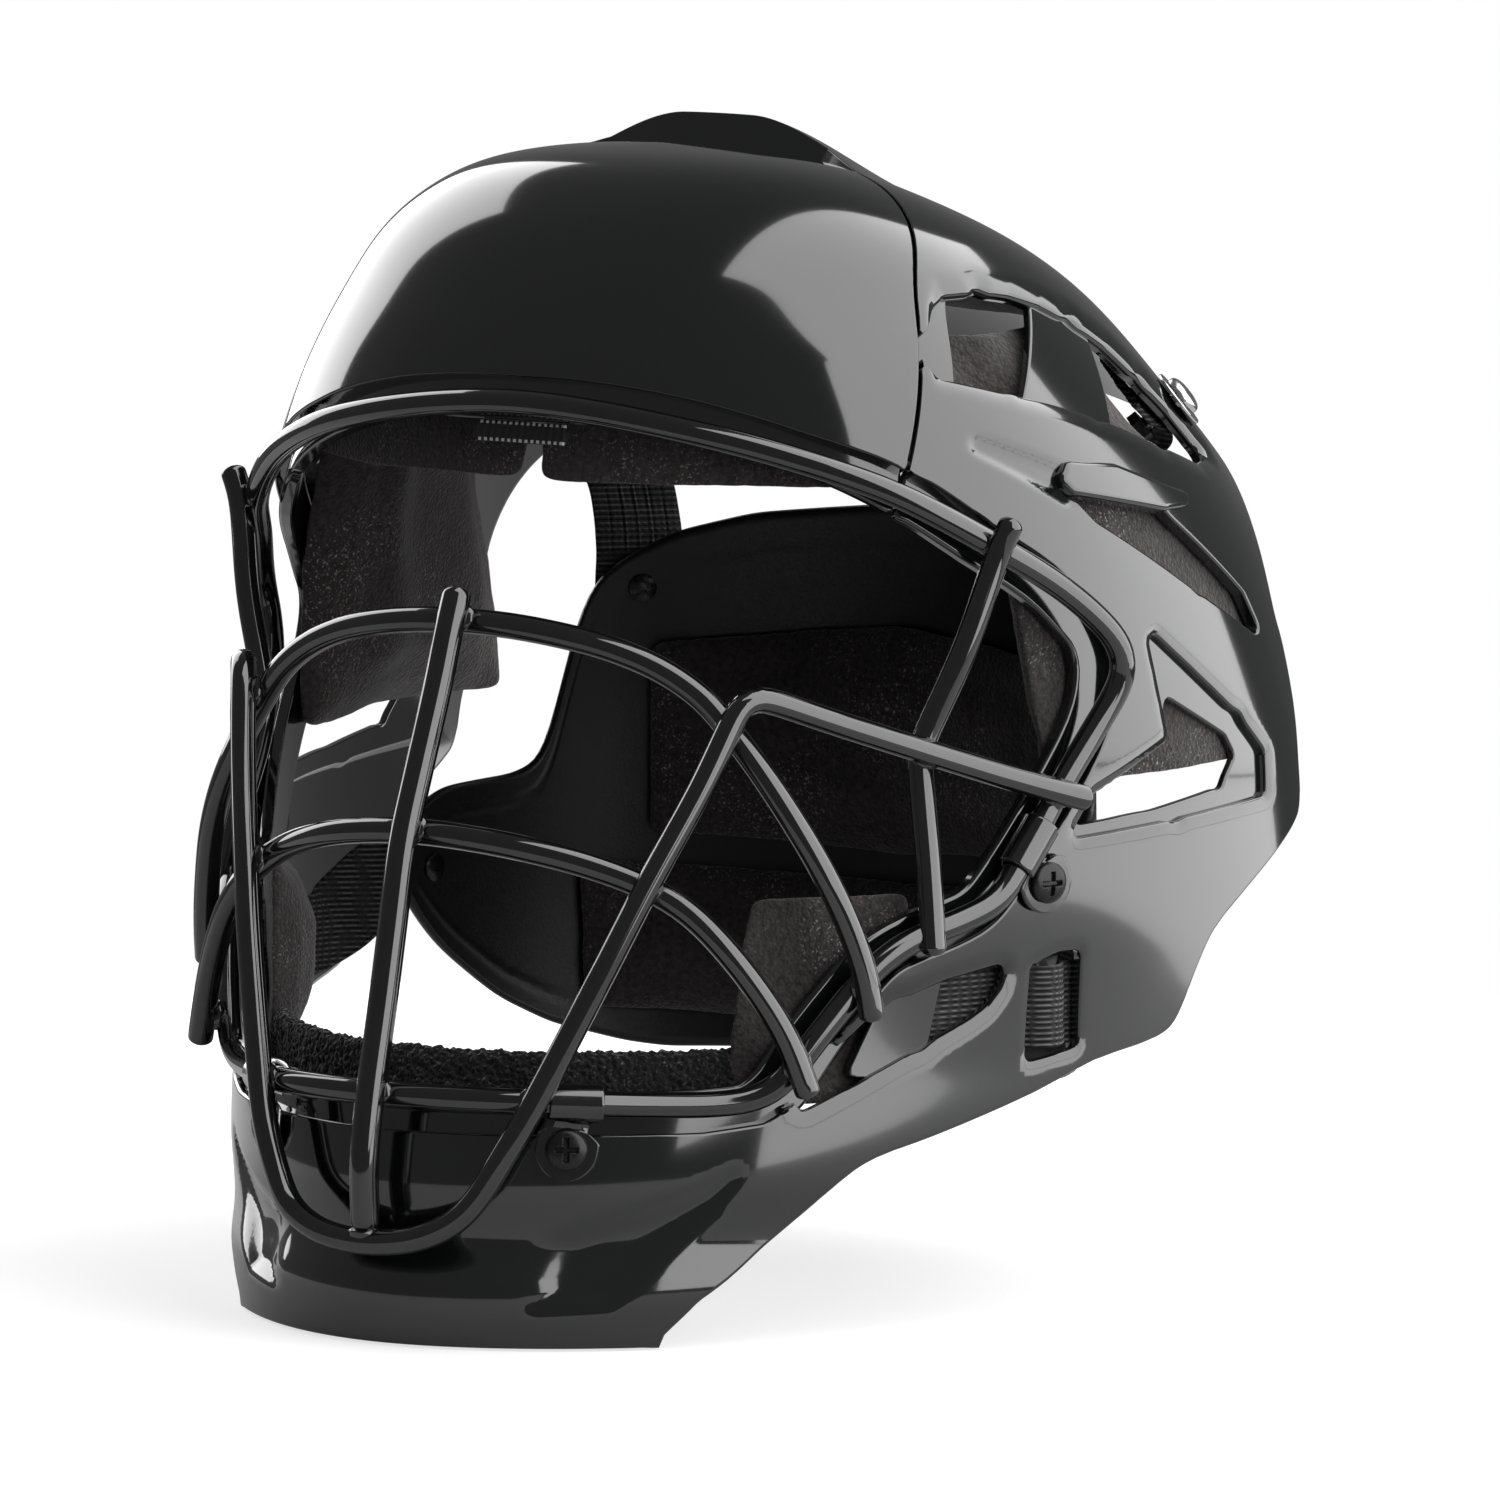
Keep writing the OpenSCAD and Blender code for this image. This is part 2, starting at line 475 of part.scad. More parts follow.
// Closed sheet between two depths over a list of plan angles, from a low to a high curve.
module sheet(at, low, high, d0, d1, n, puff = 0) {
    m = len(at);
    pts = [for (q = [0, 1]) for (i = [0:n]) for (j = [0:m - 1])
        let (a = abs(at[j]), z0 = ease(low, a), z1 = ease(high, a),
            b = (1 - abs(2 * i / n - 1) ^ 4) * (1 - abs(2 * j / (m - 1) - 1) ^ 4))
        plate_pt(at[j], z0 + (z1 - z0) * i / n, q == 0 ? d0 : d1 + (d1 > d0 ? 1 : -1) * puff * b)];
    o = (n + 1) * m;
    faces = concat(
        [for (i = [0:n - 1]) for (j = [0:m - 2]) each [[i * m + j, (i + 1) * m + j + 1,
            (i + 1) * m + j], [i * m + j, i * m + j + 1, (i + 1) * m + j + 1]]],
        [for (i = [0:n - 1]) for (j = [0:m - 2]) each [[o + i * m + j, o + (i + 1) * m + j,
            o + (i + 1) * m + j + 1], [o + i * m + j, o + (i + 1) * m + j + 1, o + i * m + j + 1]]],
        [for (j = [0:m - 2]) each [[j, o + j + 1, j + 1], [j, o + j, o + j + 1]]],
        [for (j = [0:m - 2]) each [[n * m + j, n * m + j + 1, o + n * m + j + 1], [n * m + j,
            o + n * m + j + 1, o + n * m + j]]],
        [for (i = [0:n - 1]) each [[i * m, (i + 1) * m, o + (i + 1) * m], [i * m, o + (i + 1) * m,
            o + i * m]]],
        [for (i = [0:n - 1]) each [[i * m + m - 1, o + (i + 1) * m + m - 1, (i + 1) * m + m - 1],
            [i * m + m - 1, o + i * m + m - 1, o + (i + 1) * m + m - 1]]]);
    translate(-seat) polyhedron(points = pts, faces = faces, convexity = 6);
}
rivet_r = 2;
// Rivet stations on the plate: plan angle and height.
wing_rivet = [84, 90];
top_rivet = [44, 154];
module plate_hole(s, side, r, h) let (p = plate_pt(s[0], s[1], 0))
    side_of(side) translate(-seat) translate(p) rotate([0, 90, atan2(p[1] - plate_c[0],
        p[0] * 0.93)]) translate([0, 0, -h / 2]) cylinder(r = r, h = h, $fn = 16);
module back_plate() color([0.03, 0.03, 0.03]) difference() {
    sheet(mirrored(plate_at), plate_low, plate_top, 0, plate_t, 7);
    for (side = [-1, 1]) for (s = [wing_rivet, top_rivet]) plate_hole(s, side, rivet_r + 0.15, 30);
}
module plate_pad() color([0.1, 0.09, 0.09])
    sheet([for (k = [-6:6]) 7 * k], [[0, 92], [42, 96]], [[0, 146], [42, 140]],
        plate_t + soft_gap + 0.3, plate_t + 5, 7, 5);
module nape_pad() color([0.1, 0.09, 0.09])
    sheet([for (k = [-8:8]) 54 * k / 8], [[0, 50], [54, 55]], [[0, 84], [54, 88]],
        plate_t + soft_gap + 0.3, plate_t + 5, 5, 5);

// Flat woven ribbon along a path; its width lies along w0 at the start and w1 at the end.
module ribbon(path, w0, w1, w, t) {
    m = len(path);
    pts = [for (i = [0:m - 1]) let (a = path[max(i - 1, 0)], b = path[min(i + 1, m - 1)], d = unit(b - a),
        wide = w0 + (w1 - w0) * i / (m - 1), u = unit(wide - (wide * d) * d), v = cross(d, u))
        each [path[i] - u * w / 2 - v * t / 2, path[i] + u * w / 2 - v * t / 2,
            path[i] + u * w / 2 + v * t / 2, path[i] - u * w / 2 + v * t / 2]];
    faces = concat([for (i = [0:m - 2]) for (k = [0:3]) each [
            [i * 4 + k, i * 4 + (k + 1) % 4, (i + 1) * 4 + (k + 1) % 4], [i * 4 + k,
                (i + 1) * 4 + (k + 1) % 4, (i + 1) * 4 + k]]],
        [[3, 2, 1, 0]], [[for (k = [0:3]) (m - 1) * 4 + k]]);
    translate(-seat) polyhedron(points = pts, faces = faces, convexity = 6);
}
strap_lift = 1 + strap_t / 2;
// Room between the shell and the top strap at the snap.
snap_drop = 2.9;
side_strap_line = concat([for (v = [[52, 6.2], [56, 5.8], [60, 5.4], [61.2, 5], [62, 3], [62.8, 1.1],
    [63.6, 0.4], [64.4, 1], [65, 3], [65.7, 5], [67, 5.8]])
    skin(74.7, v[0], v[1])], [[104.2, -42.8, 77.5], [99.5, -38.6, 83.5], [95, -34.8, 88.5]],
        [for (p = [85.5, 83, 80, 77]) plate_pt(p, 90, -strap_lift)]);
module side_strap_left() color([0.02, 0.02, 0.02]) difference() {
    ribbon(side_strap_line, [0, 0, 1], [0, 0, 1], strap_w - 6, strap_t);
    plate_hole(wing_rivet, 1, rivet_r + 0.5, 16);
}
module side_strap_right() color([0.02, 0.02, 0.02]) mirror([1, 0, 0]) side_strap_left();
top_strap_line = concat([for (z = [211, 206, 200]) skin(z, 121.8 + (211 - z) * 0.5,
    wall + snap_drop + strap_t / 2)], [[77, 32.5, 190], [70.5, 32.5, 179], [65.5, 28.6, 170]],
    [for (z = [163, 156, 148]) plate_pt(44, z, -strap_lift)]);
module top_strap_left() color([0.02, 0.02, 0.02]) difference() {
    ribbon(top_strap_line, [0.54, -0.84, 0], [0.76, -0.66, 0], strap_w - 4, strap_t);
    plate_hole(top_rivet, 1, rivet_r + 0.5, 16);
    translate(-seat) at(snap_at, 1) translate([0, 0, -20]) cylinder(r = hole_r + 0.3, h = 40, $fn = 16);
}
module top_strap_right() color([0.02, 0.02, 0.02]) mirror([1, 0, 0]) top_strap_left();
module rivet(s, side) let (p = plate_pt(s[0], s[1], 0))
    side_of(side) translate(-seat) translate(p) rotate([0, 90, atan2(p[1] - plate_c[0], p[0] * 0.93)]) {
        translate([0, 0, -plate_t - 0.8]) cylinder(r = rivet_r,
            h = plate_t + 0.8 + strap_lift + strap_t / 2 + 1.6);
        translate([0, 0, strap_lift + strap_t / 2 + 1.3]) cylinder(r1 = 4, r2 = 2.6, h = 1.2);
        translate([0, 0, -plate_t - 1]) cylinder(r = 3.4, h = 0.9);
    }
module plate_rivets() color([0.5, 0.5, 0.5]) for (side = [-1, 1]) for (s = [wing_rivet,
    top_rivet]) rivet(s, side);

// Height of a screw head's seat over the skin.
clip_lift = 0.7 + clip_t;

// Clip: a bent sheet sleeve round the wire and a flat neck to the tab under the screw.
// Wire point, wire direction, sleeve length, start of the tab's straight part,
// and the bar that the sleeve clears.
chin_hold = [[42.5, -159.6, 58.8], [23, 19.5, -1.4], 12.5, 0.2, [[37, -170, 57.6], [11, 11.7, 29.2]]];
side_hold = [[108.4, -71.5, 112.8], [5, 17, 22.5], 13, 0.3, []];
module along(p, d) translate(p) rotate([0, acos(unit(d)[2]), atan2(d[1], d[0])]) children();
module clip_shape(c, s) translate(-seat) {
    lift = clip_lift - clip_t;
    outer = wire_r + clip_gap + clip_t;
    foot = [s[0], s[1], s[2]];
    n = [cos(s[4]) * cos(s[3]), cos(s[4]) * sin(s[3]), sin(s[4])];
    d = unit(c[1]);
    to = foot - c[0];
    q = unit(to - (to * d) * d);
    side_way = unit(cross(n, -to));
    up = cross(side_way, n);
    difference() {
        union() {
            along(c[0], d) cylinder(r = outer, h = c[2], center = true);
            hull() {
                along(c[0] + q * (outer - clip_t / 2), d) cylinder(r = clip_t / 2, h = c[2],
                    center = true, $fn = 8);
                along(foot + n * (lift + clip_t / 2) + up * (head_r + 0.6),
                    side_way) cylinder(r = clip_t / 2, h = clip_w, center = true, $fn = 8);
            }
            along(foot + n * lift, n) cylinder(r = clip_w / 2, h = clip_t);
            hull() for (k = [c[3], head_r + 0.6 + c[3]]) along(foot + n * (lift + clip_t / 2) + up * k,
                side_way) cylinder(r = clip_t / 2, h = clip_w, center = true, $fn = 8);
        }
        along(c[0], d) cylinder(r = wire_r + clip_gap, h = 2 * c[2], center = true);
        along(foot, n) cylinder(r = hole_r, h = 12, center = true, $fn = 16);
        if (len(c[4]) > 0) along(c[4][0], c[4][1]) cylinder(r = wire_r + 0.3, h = 12);
    }
}
module chin_clip_left() color([0.03, 0.03, 0.03]) clip_shape(chin_hold, chin_at);
module chin_clip_right() color([0.03, 0.03, 0.03]) mirror([1, 0, 0]) chin_clip_left();
module side_clip_left() color([0.03, 0.03, 0.03]) clip_shape(side_hold, side_at);
module side_clip_right() color([0.03, 0.03, 0.03]) mirror([1, 0, 0]) side_clip_left();

// Pan head screw with a cross recess and a longer slot, along +Z, seated at lift.
module screw(lift, reach) {
    translate([0, 0, -reach]) cylinder(r = shank_r, h = reach + lift + 0.2);
    difference() {
        translate([0, 0, lift]) rotate_extrude() polygon([[0, 0], [head_r, 0], [head_r, 0.35 * head_h],
            [0.8 * head_r, 0.8 * head_h], [0.45 * head_r, head_h], [0, head_h]]);
        translate([-0.55 * head_r, -0.5, lift + 0.35 * head_h]) cube([1.1 * head_r, 1, head_h]);
        translate([-0.5, -0.9 * head_r, lift + 0.55 * head_h]) cube([1, 1.8 * head_r, head_h]);
    }
}
module clip_screws() color([0.05, 0.05, 0.05]) translate(-seat) for (side = [-1, 1]) for (s = [chin_at,
    side_at]) at(s, side) screw(clip_lift + 0.05, 6.4);
module nut(depth) translate([0, 0, -depth - 2.6]) difference() {
    cylinder(r = 4, h = 2.6, $fn = 6);
    translate([0, 0, -1]) cylinder(r = shank_r, h = 5);
}
module clip_nuts() color([0.6, 0.6, 0.6]) translate(-seat) for (side = [-1, 1]) for (s = [chin_at,
    side_at]) at(s, side) nut(wall + 0.25);
module snap_washers() color([0.6, 0.6, 0.6]) translate(-seat) for (side = [-1, 1]) at(snap_at,
    side) translate([0, 0, 0.4]) difference() {
    cylinder(r = 7.2, h = 0.9);
    translate([0, 0, -1]) cylinder(r = hole_r, h = 3);
}
module snap_screws() color([0.6, 0.6, 0.6]) translate(-seat) for (side = [-1, 1]) at(snap_at,
    side) screw(1.35, wall + snap_drop + strap_t + 4.4);
module snap_nuts() color([0.6, 0.6, 0.6]) translate(-seat) for (side = [-1, 1]) at(snap_at,
    side) nut(wall + snap_drop + strap_t + 1.3);

main_shell();
brow_panel();
perimeter_wire();
u_bar();
upper_bar();
lower_bar();
centre_bar();
side_bar_left();
side_bar_right();
chin_clip_left();
chin_clip_right();
side_clip_left();
side_clip_right();
clip_screws();
clip_nuts();
brow_bumper();
brow_pad_left();
brow_pad_right();
crown_pad();
side_pad_left();
side_pad_right();
jaw_pad_left();
jaw_pad_right();
chin_pad();
back_plate();
plate_pad();
nape_pad();
plate_rivets();
side_strap_left();
side_strap_right();
top_strap_left();
top_strap_right();
snap_screws();
snap_washers();
snap_nuts();
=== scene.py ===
"""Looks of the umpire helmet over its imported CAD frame: glossy shell, wire cage, liner, plate and straps."""
from math import cos, pi, radians, sin, sqrt
import bmesh
import bpy
import numpy as np
from mathutils import Matrix, Vector, noise as mn


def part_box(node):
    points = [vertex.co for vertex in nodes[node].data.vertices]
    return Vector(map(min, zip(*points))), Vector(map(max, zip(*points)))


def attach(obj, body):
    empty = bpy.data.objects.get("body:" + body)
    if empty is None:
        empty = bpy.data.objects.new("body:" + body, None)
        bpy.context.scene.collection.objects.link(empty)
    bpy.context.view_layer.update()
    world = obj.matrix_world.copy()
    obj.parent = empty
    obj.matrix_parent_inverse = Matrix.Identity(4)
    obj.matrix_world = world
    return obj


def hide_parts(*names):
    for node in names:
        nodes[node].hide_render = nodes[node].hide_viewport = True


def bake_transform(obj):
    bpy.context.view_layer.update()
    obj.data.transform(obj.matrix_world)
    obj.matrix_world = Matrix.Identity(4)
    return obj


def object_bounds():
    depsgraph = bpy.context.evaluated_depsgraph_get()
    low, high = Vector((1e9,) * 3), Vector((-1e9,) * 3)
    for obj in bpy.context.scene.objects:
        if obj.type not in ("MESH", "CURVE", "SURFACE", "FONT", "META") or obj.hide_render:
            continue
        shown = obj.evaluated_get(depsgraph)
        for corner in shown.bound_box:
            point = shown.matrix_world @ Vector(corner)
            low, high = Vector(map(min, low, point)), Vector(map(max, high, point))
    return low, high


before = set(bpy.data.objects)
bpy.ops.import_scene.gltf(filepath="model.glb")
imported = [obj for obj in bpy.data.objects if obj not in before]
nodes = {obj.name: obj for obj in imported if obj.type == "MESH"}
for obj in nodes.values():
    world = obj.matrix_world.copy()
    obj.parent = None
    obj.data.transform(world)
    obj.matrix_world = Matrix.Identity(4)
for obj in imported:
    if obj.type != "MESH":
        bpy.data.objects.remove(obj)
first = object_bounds()

cat = np.concatenate
MM = 0.001
SEAT = np.array([0.0, -40.0, 249.0])
WALL, CROWN, Z_LOW, CHIN_Z = 3.2, 268.5, -12.0, 2.6
HUMP_H, HUMP_W = 9.0, 47.0
FLANGE_STEP, SKIN_GAP, VENT_R, SEAM_GAP = 3.6, 5.6, 1.6, 0.5


def coords(text):
    """Points written as numbers with commas, spaces between points."""
    return [tuple(map(float, p.split(","))) for p in text.split()]


# Section tables: height, then value, as the shell's source has them.
TAB = {
    "w": coords("""-12,118 0,119 40,121 80,121.5 118,121.5 150,117.5 175,113.5 194,107.5 207,101.5 222,93 235,84.5
        247,74.5 257,60 264,43 267.3,23 268.5,0"""),
    "f": coords("""-12,-176.5 0,-177 16,-177.5 26,-173.6 40,-174.5 60,-171 110,-158 160,-140 181,-130 200,-122.5
        222,-117.5 235,-111.5 247,-104 257,-95 264,-85 267.3,-74 268.5,-60"""),
    "c": coords("-12,22 60,22 120,12 160,-4 181,-15 207,-29 235,-39 260,-57 268.5,-60"),
    "r": coords("""-12,110 120,106 160,99 181,88 194,78 207,64 222,50 235,34 247,11 257,-14 264,-33 267.3,-48
        268.5,-60"""),
    "n": coords("-12,1.9 60,1.92 100,2.05 150,2.3 200,2.35 235,2.3 268.5,2.2"),
}
POLE_Y = -60.0


def metres(p):
    return (np.asarray(p, float) - SEAT) * MM


def step(a, b, x):
    s = np.clip((x - a) / (b - a), 0, 1)
    return s * s * (3 - 2 * s)


def unit(v):
    return v / np.maximum(np.linalg.norm(v, axis=-1, keepdims=True), 1e-9)


def ease(key, q):
    t = np.array(TAB[key], float)
    x = np.clip(q, t[0, 0], t[-1, 0])
    i = np.clip(np.searchsorted(t[:, 0], x, side="right") - 1, 0, len(t) - 2)
    lo, hi = np.maximum(np.arange(len(t)) - 1, 0), np.minimum(np.arange(len(t)) + 1, len(t) - 1)
    slope = (t[hi, 1] - t[lo, 1]) / (t[hi, 0] - t[lo, 0])
    h = t[i + 1, 0] - t[i, 0]
    s = (x - t[i, 0]) / h
    return ((2 * s**3 - 3 * s**2 + 1) * t[i, 1] + (s**3 - 2 * s**2 + s) * h * slope[i]
            + (3 * s**2 - 2 * s**3) * t[i + 1, 1] + (s**3 - s**2) * h * slope[i + 1])


def section(n, w, f, c0, r, angle):
    """One level section of the shell surface. angle 0 is the front centre, 90 the wearer's left."""
    c = np.minimum(np.maximum(c0, f + 0.01), r - 0.01)
    k, s = np.cos(angle), np.sin(angle)
    x = w * np.sign(s) * np.abs(s) ** (2 / n)
    y = np.where(k >= 0, c - (c - f) * np.abs(k) ** (2 / n), c + (r - c) * np.abs(k) ** (2 / 2.2))
    return x, y


def skin(z, a, d=0.0):
    """Point of the shell surface, pushed inward by d, the way the source has it."""
    z, a = np.asarray(z, float), np.radians(np.asarray(a, float))
    q = z + d * (np.maximum(z, 0) / CROWN) ** 3
    w = np.maximum(ease("w", q) - d, 0.01)
    x, y = section(ease("n", q), w, ease("f", q) + d, ease("c", q), ease("r", q) - d, a)
    return np.stack([x, y, z * np.ones_like(x)], -1)


def hump(x, y):
    return (HUMP_H * (1 - step(HUMP_W * 0.2, HUMP_W, np.abs(x))) * step(-62, -40, y) * (1 - step(-30, 26, y)))


def blur(v, sigma, odd=None, wrap=False):
    """Gaussian smoothing along axis 0. Past the last row the values mirror, turned over about odd if it is given."""
    if sigma <= 0:
        return v
    m = int(sigma * 3) + 1
    k = np.exp(-0.5 * (np.arange(-m, m + 1) / sigma) ** 2)
    k /= k.sum()
    if wrap:
        big = cat([v[-m:], v, v[:m]])
    else:
        tail = v[-2:-m - 2:-1]
        big = cat([2 * v[:1] - v[m:0:-1], v, tail if odd is None else 2 * odd - tail])
    return sum(k[i] * big[i:i + len(v)] for i in range(2 * m + 1))


def curve(q, t):
    """Point at t of the smooth curve that leads from q[1] to q[2]."""
    return 0.5 * (2 * q[1] + (q[2] - q[0]) * t + (2 * q[0] - 5 * q[1] + 4 * q[2] - q[3]) * t**2
                  + (3 * q[1] - q[0] - 3 * q[2] + q[3]) * t**3)


def travel(path):
    """Running length along a path."""
    return cat([[0], np.cumsum(np.linalg.norm(np.diff(path, axis=0), axis=1))])


def resample(at, run, path):
    return np.stack([np.interp(at, run, path[:, k]) for k in range(3)], 1)


def sweep_faces(rows, cols, shut=False):
    """Quads between neighbouring rings of points, with the two end faces of an open sweep."""
    faces = []
    for i in range(rows if shut else rows - 1):
        a, b = i * cols, (i + 1) % rows * cols
        faces += [(a + j, a + (j + 1) % cols, b + (j + 1) % cols, b + j) for j in range(cols)]
    if not shut:
        faces += [tuple(range(cols - 1, -1, -1)), tuple((rows - 1) * cols + j for j in range(cols))]
    return faces


class Skin:
    """Dense grid over the outer surface: rows from the hem to the pole, columns round from the front centre."""

    def __init__(self, rows, cols, up):
        phi = np.linspace(0, pi / 2, rows + 1)
        z = Z_LOW + (CROWN - Z_LOW) * np.sin(phi)
        per = (CROWN - Z_LOW) * pi / 2 / rows
        fine = step(50, 95, z)
        t = {}
        for key in "wfcrn":
            raw = ease(key, z)
            odd = {"w": 0.0, "f": POLE_Y, "r": POLE_Y}.get(key)
            t[key] = blur(raw, 1.2 / per, odd) * (1 - fine) + blur(raw, 9 / per, odd) * fine
        dense = np.linspace(0, 2 * pi, 2401)
        P = np.zeros((rows + 1, cols, 3))
        for i in range(rows + 1):
            x, y = section(t["n"][i], max(t["w"][i], 1e-3), t["f"][i], t["c"][i], t["r"][i], dense)
            run = cat([[0], np.cumsum(np.hypot(np.diff(x), np.diff(y)))])
            at = np.linspace(0, run[-1], cols, endpoint=False)
            P[i, :, 0], P[i, :, 1], P[i, :, 2] = np.interp(at, run, x), np.interp(at, run, y), z[i]
        P[:, :, :2] = np.swapaxes(blur(np.swapaxes(P[:, :, :2], 0, 1), 4.0, wrap=True), 0, 1)
        P[rows] = (0, POLE_Y, CROWN)
        if up:
            P[:, :, 2] += hump(P[:, :, 0], P[:, :, 1])
        self.P = P
        self.frame_up()

    def slopes(self, v):
        return np.gradient(v, axis=0), (np.roll(v, -1, 1) - np.roll(v, 1, 1)) / 2

    def frame_up(self):
        self.Pu, self.Pv = self.slopes(self.P)
        N = unit(np.cross(self.Pv, self.Pu))
        N[-1] = unit(N[-2].mean(0))
        half = len(N) // 2
        self.N = N if (N[half] * (self.P[half] - [0, -30, 120])).sum() > 0 else -N

    def push(self, depth):
        self.P = self.P - self.N * depth[..., None]
        self.frame_up()

    def grad(self, f):
        fu, fv = self.slopes(f)
        E, F, G = (self.Pu**2).sum(-1), (self.Pu * self.Pv).sum(-1), (self.Pv**2).sum(-1)
        det = np.maximum(E * G - F * F, 1e-6)
        g = ((G * fu - F * fv) / det)[..., None] * self.Pu + ((E * fv - F * fu) / det)[..., None] * self.Pv
        g[-1] = 0
        return np.clip(np.linalg.norm(g, axis=-1), 0.3, 1.5), unit(g)


def outline_distance(P, outline):
    """Signed distance in side view to a closed outline of (y, z) points: negative inside."""
    p = P[..., 1:3]
    a = np.array(outline, float)
    best, inside = np.full(p.shape[:-1], 1e9), np.zeros(p.shape[:-1], bool)
    for q, r in zip(a, np.roll(a, -1, 0)):
        e, w = r - q, p - q
        t = np.clip((w @ e) / max(e @ e, 1e-9), 0, 1)
        best = np.minimum(best, ((w - t[..., None] * e) ** 2).sum(-1))
        if q[1] != r[1]:
            up = (q[1] > p[..., 1]) != (r[1] > p[..., 1])
            inside ^= up & (p[..., 0] < (r[0] - q[0]) * (p[..., 1] - q[1]) / (r[1] - q[1]) + q[0])
    return np.where(inside, -1, 1) * np.sqrt(best)


def hull(outline):
    pts = sorted(set(map(tuple, outline)))

    def half(seq):
        out = []
        for p in seq:
            while len(out) > 1 and ((out[-1][0] - out[-2][0]) * (p[1] - out[-2][1])
                                    - (out[-1][1] - out[-2][1]) * (p[0] - out[-2][0])) <= 0:
                out.pop()
            out.append(p)
        return out[:-1]
    return half(pts) + half(pts[::-1])


def window(P, *outlines, soft=2.5):
    """Distance to the union of rounded windows, joined softly."""
    d = None
    for o in outlines:
        e = outline_distance(P, hull(o)) - VENT_R
        if d is None:
            d = e
        else:
            h = np.clip(0.5 + 0.5 * (d - e) / soft, 0, 1)
            d = d * (1 - h) + e * h - soft * h * (1 - h)
    return d


def soften(points, a, b, steps=3):
    """Runs a smooth curve through points a to b of an outline."""
    p = np.array(points, float)
    out = []
    for i in range(a, b - 1):
        q = p[max(i - 1, a)], p[i], p[i + 1], p[min(i + 2, b - 1)]
        out += [tuple(curve(q, t)) for t in np.arange(steps) / steps]
    return list(points[:a]) + out + list(points[b - 1:])


# Face opening: y and z of each point, and how far each moves per millimetre that the opening grows.
OPENING = coords("""-300,0,213,1 -118,0,213,1 -103.5,0,202.6,1 -91.3,0.5,194.1,0.9 -77.5,0.6,182.2,0.8
    -63,0.7,171.9,0.7 -53.5,0.9,162.5,0.4 -49,1,156,0 -48.6,1,149.5,0 -52.5,1,139.3,-0.3 -64,0.9,123.5,-0.5
    -76,0.8,107,-0.6 -82,0.6,100,-0.8 -89,0.3,96.8,-1 -100.6,0.4,92.5,-0.9 -108.5,0.7,86.5,-0.7 -118.4,0.8,73.5,-0.6
    -126,0.7,62,-0.7 -131,0.4,58,-0.9 -140,0,57,-1 -300,0,57,-1""")


def opening(grow):
    return soften([(y + ky * grow, z + kz * grow) for y, ky, z, kz in OPENING], 1, 19)


# Other outlines in side view, as y,z.
REAR = soften(coords("""-148.4,-30 -148,5.2 -142.1,12.9 -125.7,27.1 -113.4,38.5 -105.4,43.4 -91.5,47.4 -65.6,55.1
    -48.5,60.9 -28.2,64.5 -21.2,69.1 -13.9,81.5 -5.4,90.7 22.8,107.7 28.2,114 29.4,123.3 31.5,137 31.5,150 30,158
    31,169 34.5,180.5 42,192 52,201 60,207 65,210.5 74,213 220,216 220,-30"""), 2, 26)
SEAM = soften(coords("-36,300 -36,267 -50,258.5 -67,243 -77,224 -89,199 -94,188 -300,188 -300,300"), 1, 7, 6)
VENT = [coords("-75.1,222.6 -74,227 -66,232.9 -61.3,235.3 -50,235.4 -40,216 -59.1,218.4"),
        coords("-50,235.4 -39.3,233.8 -29,231 -19,226.6 -27.9,210.2 -40,213.6 -52,217"),
        coords("-19,226.6 -6.8,220.2 4.6,211.7 -3.8,201.8 -27.9,210.2"),
        coords("4.6,211.7 15.2,203.9 20.6,196.6 13.2,196.4 -3.8,201.8")]
VENT_STRUT = coords("-52,212 -38,224 -29,234 -12,226 -24,205")
SLIT = [coords("-49.5,193.6 -29.5,188.2 -17,183.4 -8.3,167.6 -42.3,186.3"),
        coords("-17,183.4 11.4,162.5 15.6,155.6 8.4,160.3 -8.3,167.6")]
SLIT_GROOVE = [(-71.3, 204), (-50.8, 195.6), (-50.8, 192)]
SLIT_LIP = coords("-50.8,195 -48.4,197.4 -32.5,195.6 -7,187 -17,186.6 -29.5,189.6 -48.9,192.8")
EAR_RIM = [coords("-28,155.9 -22.4,144.6 -23.5,132 2.1,134.9 -13,143.7"),
           coords("2.1,134.9 11,126.4 10.4,118.6 -23.7,116.5 -23.5,132"),
           coords("-23.7,116.5 -55.5,115 -50.5,121.7 -26.5,131.1 -23.5,132")]
EAR = [coords("-22.6,141 -23.7,133.1 -26,131.1 -5,122 0.2,127.4 -2.2,131"),
       coords("-26,131.1 -50,121.2 -54,117.6 -30,119 -5,122")]
JAW = [coords("-120.6,57.4 -115,65.6 -106.9,73.2 -100,77 -95.5,69.7 -109.1,63.4"),
       coords("-100,77 -88.8,81 -76.4,83.4 -77.2,81 -80,77.6 -83.5,75.4 -95.5,69.7")]
JAW_STRUT = coords("-101,81 -91,84 -94.6,76.5 -94,68 -104,62.5 -109,63.5 -101.5,73")
STRAP_SLOT = coords("-66.6,64.2 -55,66 -55.2,85.4 -59.8,85.4 -66,83.4")
CHIN_SCOOP = coords("-166,13 -165,19 -161,27 -157,30 -146,35 -135,41 -138,34 -149,23 -157,14")


def new_object(name, data):
    ob = bpy.data.objects.new(name, data)
    bpy.context.scene.collection.objects.link(ob)
    return ob


def new_mesh(name, verts, faces, normals=None):
    me = bpy.data.meshes.new(name)
    me.from_pydata([tuple(v) for v in verts], [], [tuple(f) for f in faces])
    me.polygons.foreach_set("use_smooth", [True] * len(me.polygons))
    me.update()
    if normals is not None:
        me.normals_split_custom_set_from_vertices([tuple(n) for n in normals])
    return new_object(name, me)


